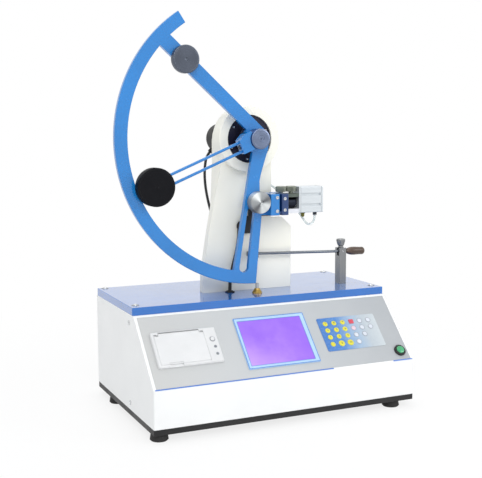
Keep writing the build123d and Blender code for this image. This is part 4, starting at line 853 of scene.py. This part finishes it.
groups = {"yellow": [], "wide": [], "red": [], "pink": [], "pale": []}
for column, count in enumerate(KEYS_PER_COLUMN):
    for row in range(count):
        if column < 3:
            groups["wide" if row == 3 and column else "yellow"].append(key_place(column, row))
        elif column == 3 and row == 0:
            groups["red"].append(key_place(column, row))
        elif column == 3 and row == 1:
            groups["pink"].append(key_place(column, row))
        else:
            groups["pale"].append(key_place(column, row))
piece("keys_yellow", dome(4.7), key_yellow, "root", "key_yellow", groups["yellow"], replaces=["keys"])
piece("keys_wide", dome(5.9), key_yellow, "root", "key_yellow", groups["wide"])
square_key = slab(rounded_outline(-4.6, -4.2, 4.6, 4.2, 1.2), 0, 1.1, 0.5)
piece("key_red", square_key, key_red, "root", "key_yellow", groups["red"])
piece("key_pink", dome(4.4, 0.9), key_pink, "root", "key_yellow", groups["pink"])
piece("keys_pale", dome(4.2, 0.8), key_pale, "root", "key_yellow", groups["pale"])
piece("key_rings", ring(4.9), ink_grey, "root", "keypad_film", groups["pale"] + groups["pink"])


def number(text, place, name):
    """A plain number laid on a key."""
    curve = bpy.data.curves.new(name, "FONT")
    curve.body = text
    curve.size = NUMBER_SIZE / 1000
    curve.extrude = 0.00004
    curve.align_x = "CENTER"
    curve.align_y = "CENTER"
    curve.resolution_u = 4
    flat = bpy.data.objects.new(name + "_text", curve)
    bpy.context.scene.collection.objects.link(flat)
    bpy.context.view_layer.update()
    mesh = bpy.data.meshes.new_from_object(flat.evaluated_get(bpy.context.evaluated_depsgraph_get()))
    bpy.data.objects.remove(flat)
    bpy.data.curves.remove(curve)
    mesh.materials.clear()
    mesh.materials.append(ink)
    made = bpy.data.objects.new(name, mesh)
    made.matrix_world = place
    bpy.context.scene.collection.objects.link(made)
    bpy.context.view_layer.update()
    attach(made, "root")


for index, text in enumerate("789456123.0"):
    column, row = index % 3, index // 3
    number(text, key_place(column, row) @ Matrix.Translation((0, 0, 0.00117)), f"key_number_{index}")
piece("key_bar", slab(rounded_outline(-2.6, -0.5, 2.6, 0.5, 0.3, 3), 1.1, 1.22), ink, "root", "keypad_film",
      [key_place(2, 3)])

# Start button: a raised cap in its ring

start_place = on_panel(START_X, START_S, 0)
start_cap = lathe([(0, 5.3), (2.5, 5.25), (4.6, 4.9), (5.8, 4.7), (6.2, 4.9), (6.8, 4.7), (7.15, 4.1),
                   (7.2, 3.2), (7.2, -12.0), (0, -12.0)], 72)
piece("start_cap", start_cap, green_cap, "start", "green_plastic", [start_place], replaces=["start_button"])

# Air cylinder: end seams, screws and the fittings under it

seam_places = [seat(swing(u, CLAMP_MID_V, CYLINDER_Y), RIGHT, UP) for u in (94.5, 136.5)]
seam_out = rounded_outline(-23.62, -14.12, 23.62, 14.12, 1.6)
seam_in = rounded_outline(-23.3, -13.8, 23.3, 13.8, 1.4)
piece("cylinder_seams", slab(seam_out, -0.2, 0.2, 0.0, seam_in), dark_alloy, "root", "silver_alloy",
      seam_places)
corners = [(v, y) for v in (-18.5, 18.5) for y in (-9.5, 9.5)]
end_places = [seat(swing(139.9, CLAMP_MID_V + v, CYLINDER_Y + y), RIGHT, UP) for v, y in corners]
end_head = hex_head(1.2, 0.2, 0.6, [(1.5, 0.8), (2.6, 0.8), (2.9, 0.5), (2.9, 0)])
piece("cylinder_end_screws", end_head, bolt_steel, "root", "steel", end_places)
port_top = [seat(at(368, PORT_Y, PORT_Z), -UP)]
tube_ring = lathe([(2.1, 4.8), (2.3, 6.3), (3.2, 6.3), (3.75, 5.2), (3.75, 4.4), (3.3, 4.0), (2.1, 4.8)], 48)
piece("tube_fitting_ring", tube_ring, bolt_steel, "root", "steel", port_top)
vent_grip = knurl(18, 0.35)
silencer = lathe([(0, 0), (3.9, 0, hexagon), (3.9, 2.2, hexagon), (3.0, 2.4), (3.0, 3.0), (3.3, 3.2, vent_grip),
                  (3.2, 6.2, vent_grip), (2.2, 8.2), (0, 8.6)], 108)
piece("silencer", silencer, vent_brass, "root", "brass", [seat(at(343, PORT_Y, PORT_Z), -UP)],
      replaces=["vent_fitting"])

# Encoder: boss and screws on its back

piece("encoder_back", lathe([(0, 0.6), (8.0, 0.6), (8.4, 0.3), (8.8, 0), (0, 0)], 64), black_abs, "root",
      "black_plastic", [seat(swing(0, 0, ENCODER_BACK_Y), -FRONT)])
encoder_screws = []
for index in range(3):
    angle = radians(90 + 120 * index)
    encoder_screws.append(seat(swing(19.5 * cos(angle), 19.5 * sin(angle), ENCODER_BACK_Y), -FRONT))
encoder_head = hex_head(1.1, 0.3, 0.9, [(1.3, 1.1), (1.9, 1.1), (2.2, 0.8), (2.2, 0)], 48)
piece("encoder_screws", encoder_head, bolt_steel, "root", "dark_steel", encoder_screws)

# Rear: mains pins and the inlet's screws

pin_sleeve = slab(rounded_outline(-1.15, -2.15, 1.15, 2.15, 0.8, 3), 0, 16.6, 0.5)
pins = ((-7, -2), (0, 2), (7, -2))
pin_places = [seat(at(INLET_X + dx, PIN_FOOT_Y, INLET_Z + dz), -FRONT, RIGHT) for dx, dz in pins]
piece("mains_pins", pin_sleeve, steel, "root", "steel", pin_places)
inlet_corners = ((-23, -11), (23, -11), (-23, 35), (23, 35))
inlet_screws = [seat(at(INLET_X + dx, SHELL_BACK_Y, INLET_Z + dz), -FRONT) for dx, dz in inlet_corners]
inlet_head = hex_head(1.2, 0.2, 0.6, [(1.4, 0.8), (2.2, 0.7), (2.6, 0)], 48)
piece("inlet_screws", inlet_head, screw_steel, "root", "steel", inlet_screws)

# Floor, backdrop and lights


def add_studio():
    s = Shader("pale_floor")
    whole = s.node("ShaderNodeTexCoord").outputs["Generated"]
    s.finish(s.mix(s.noise(3.0, 2.0, 0.5, whole), (0.86, 0.86, 0.86, 1), (0.90, 0.90, 0.90, 1)), 0.6)
    glow = s.node("ShaderNodeEmission", {"Color": (1, 1, 1, 1), "Strength": 1.0})
    rays = s.node("ShaderNodeLightPath").outputs
    seen = s.maths("MAXIMUM", rays["Is Camera Ray"], rays["Is Glossy Ray"])
    far = s.node("ShaderNodeVectorMath", {0: s.place}, operation="LENGTH").outputs["Value"]
    fade = s.node("ShaderNodeMapRange", {"Value": far, "From Min": 0.25, "From Max": 0.95, "To Min": 0.80,
                                         "To Max": 1.0}, interpolation_type="SMOOTHSTEP").outputs["Result"]
    blend = s.node("ShaderNodeMixShader", {0: s.maths("MULTIPLY", seen, fade), 1: s.principled.outputs["BSDF"],
                                           2: glow.outputs["Emission"]})
    s.tree.links.new(blend.outputs["Shader"], s.tree.nodes["Material Output"].inputs["Surface"])
    mesh = bpy.data.meshes.new("floor")
    reach = 9.0
    corners = [(-reach, -reach, 0), (reach, -reach, 0), (reach, reach, 0), (-reach, reach, 0)]
    mesh.from_pydata(corners, [], [(0, 1, 2, 3)])
    mesh.materials.append(s.material)
    floor = bpy.data.objects.new("floor", mesh)
    bpy.context.scene.collection.objects.link(floor)

    world = bpy.data.worlds.new("studio")
    bpy.context.scene.world = world
    world.use_nodes = True
    sky = world.node_tree
    plain = sky.nodes["Background"]
    plain.inputs["Color"].default_value = (0.97, 0.985, 1.0, 1)
    plain.inputs["Strength"].default_value = 0.74
    bright = sky.nodes.new("ShaderNodeBackground")
    bright.inputs["Color"].default_value = (1, 1, 1, 1)
    bright.inputs["Strength"].default_value = 1.0
    path = sky.nodes.new("ShaderNodeLightPath")
    either = sky.nodes.new("ShaderNodeMath")
    either.operation = "MAXIMUM"
    sky.links.new(path.outputs["Is Camera Ray"], either.inputs[0])
    sky.links.new(path.outputs["Is Transmission Ray"], either.inputs[1])
    both = sky.nodes.new("ShaderNodeMath")
    both.operation = "MAXIMUM"
    sky.links.new(either.outputs[0], both.inputs[0])
    sky.links.new(path.outputs["Is Glossy Ray"], both.inputs[1])
    choose = sky.nodes.new("ShaderNodeMixShader")
    sky.links.new(both.outputs[0], choose.inputs[0])
    sky.links.new(plain.outputs[0], choose.inputs[1])
    sky.links.new(bright.outputs[0], choose.inputs[2])
    sky.links.new(choose.outputs[0], sky.nodes["World Output"].inputs["Surface"])

    for name, place, aim, size, power in (
            ("key", (-0.9, -2.4, 2.2), (0, 0, 0.35), 1.8, 30),
            ("fill", (1.9, -1.6, 1.3), (0, 0, 0.3), 1.4, 14),
            ("top", (0.1, 0.5, 2.6), (0, 0, 0.2), 1.5, 14)):
        data = bpy.data.lights.new(name, "AREA")
        data.shape = "DISK"
        data.size = size
        data.energy = power
        lamp = bpy.data.objects.new(name, data)
        lamp.matrix_world = seat(Vector(place), Vector(place) - Vector(aim), RIGHT)
        bpy.context.scene.collection.objects.link(lamp)


add_studio()
bpy.context.scene.view_settings.view_transform = "Standard"
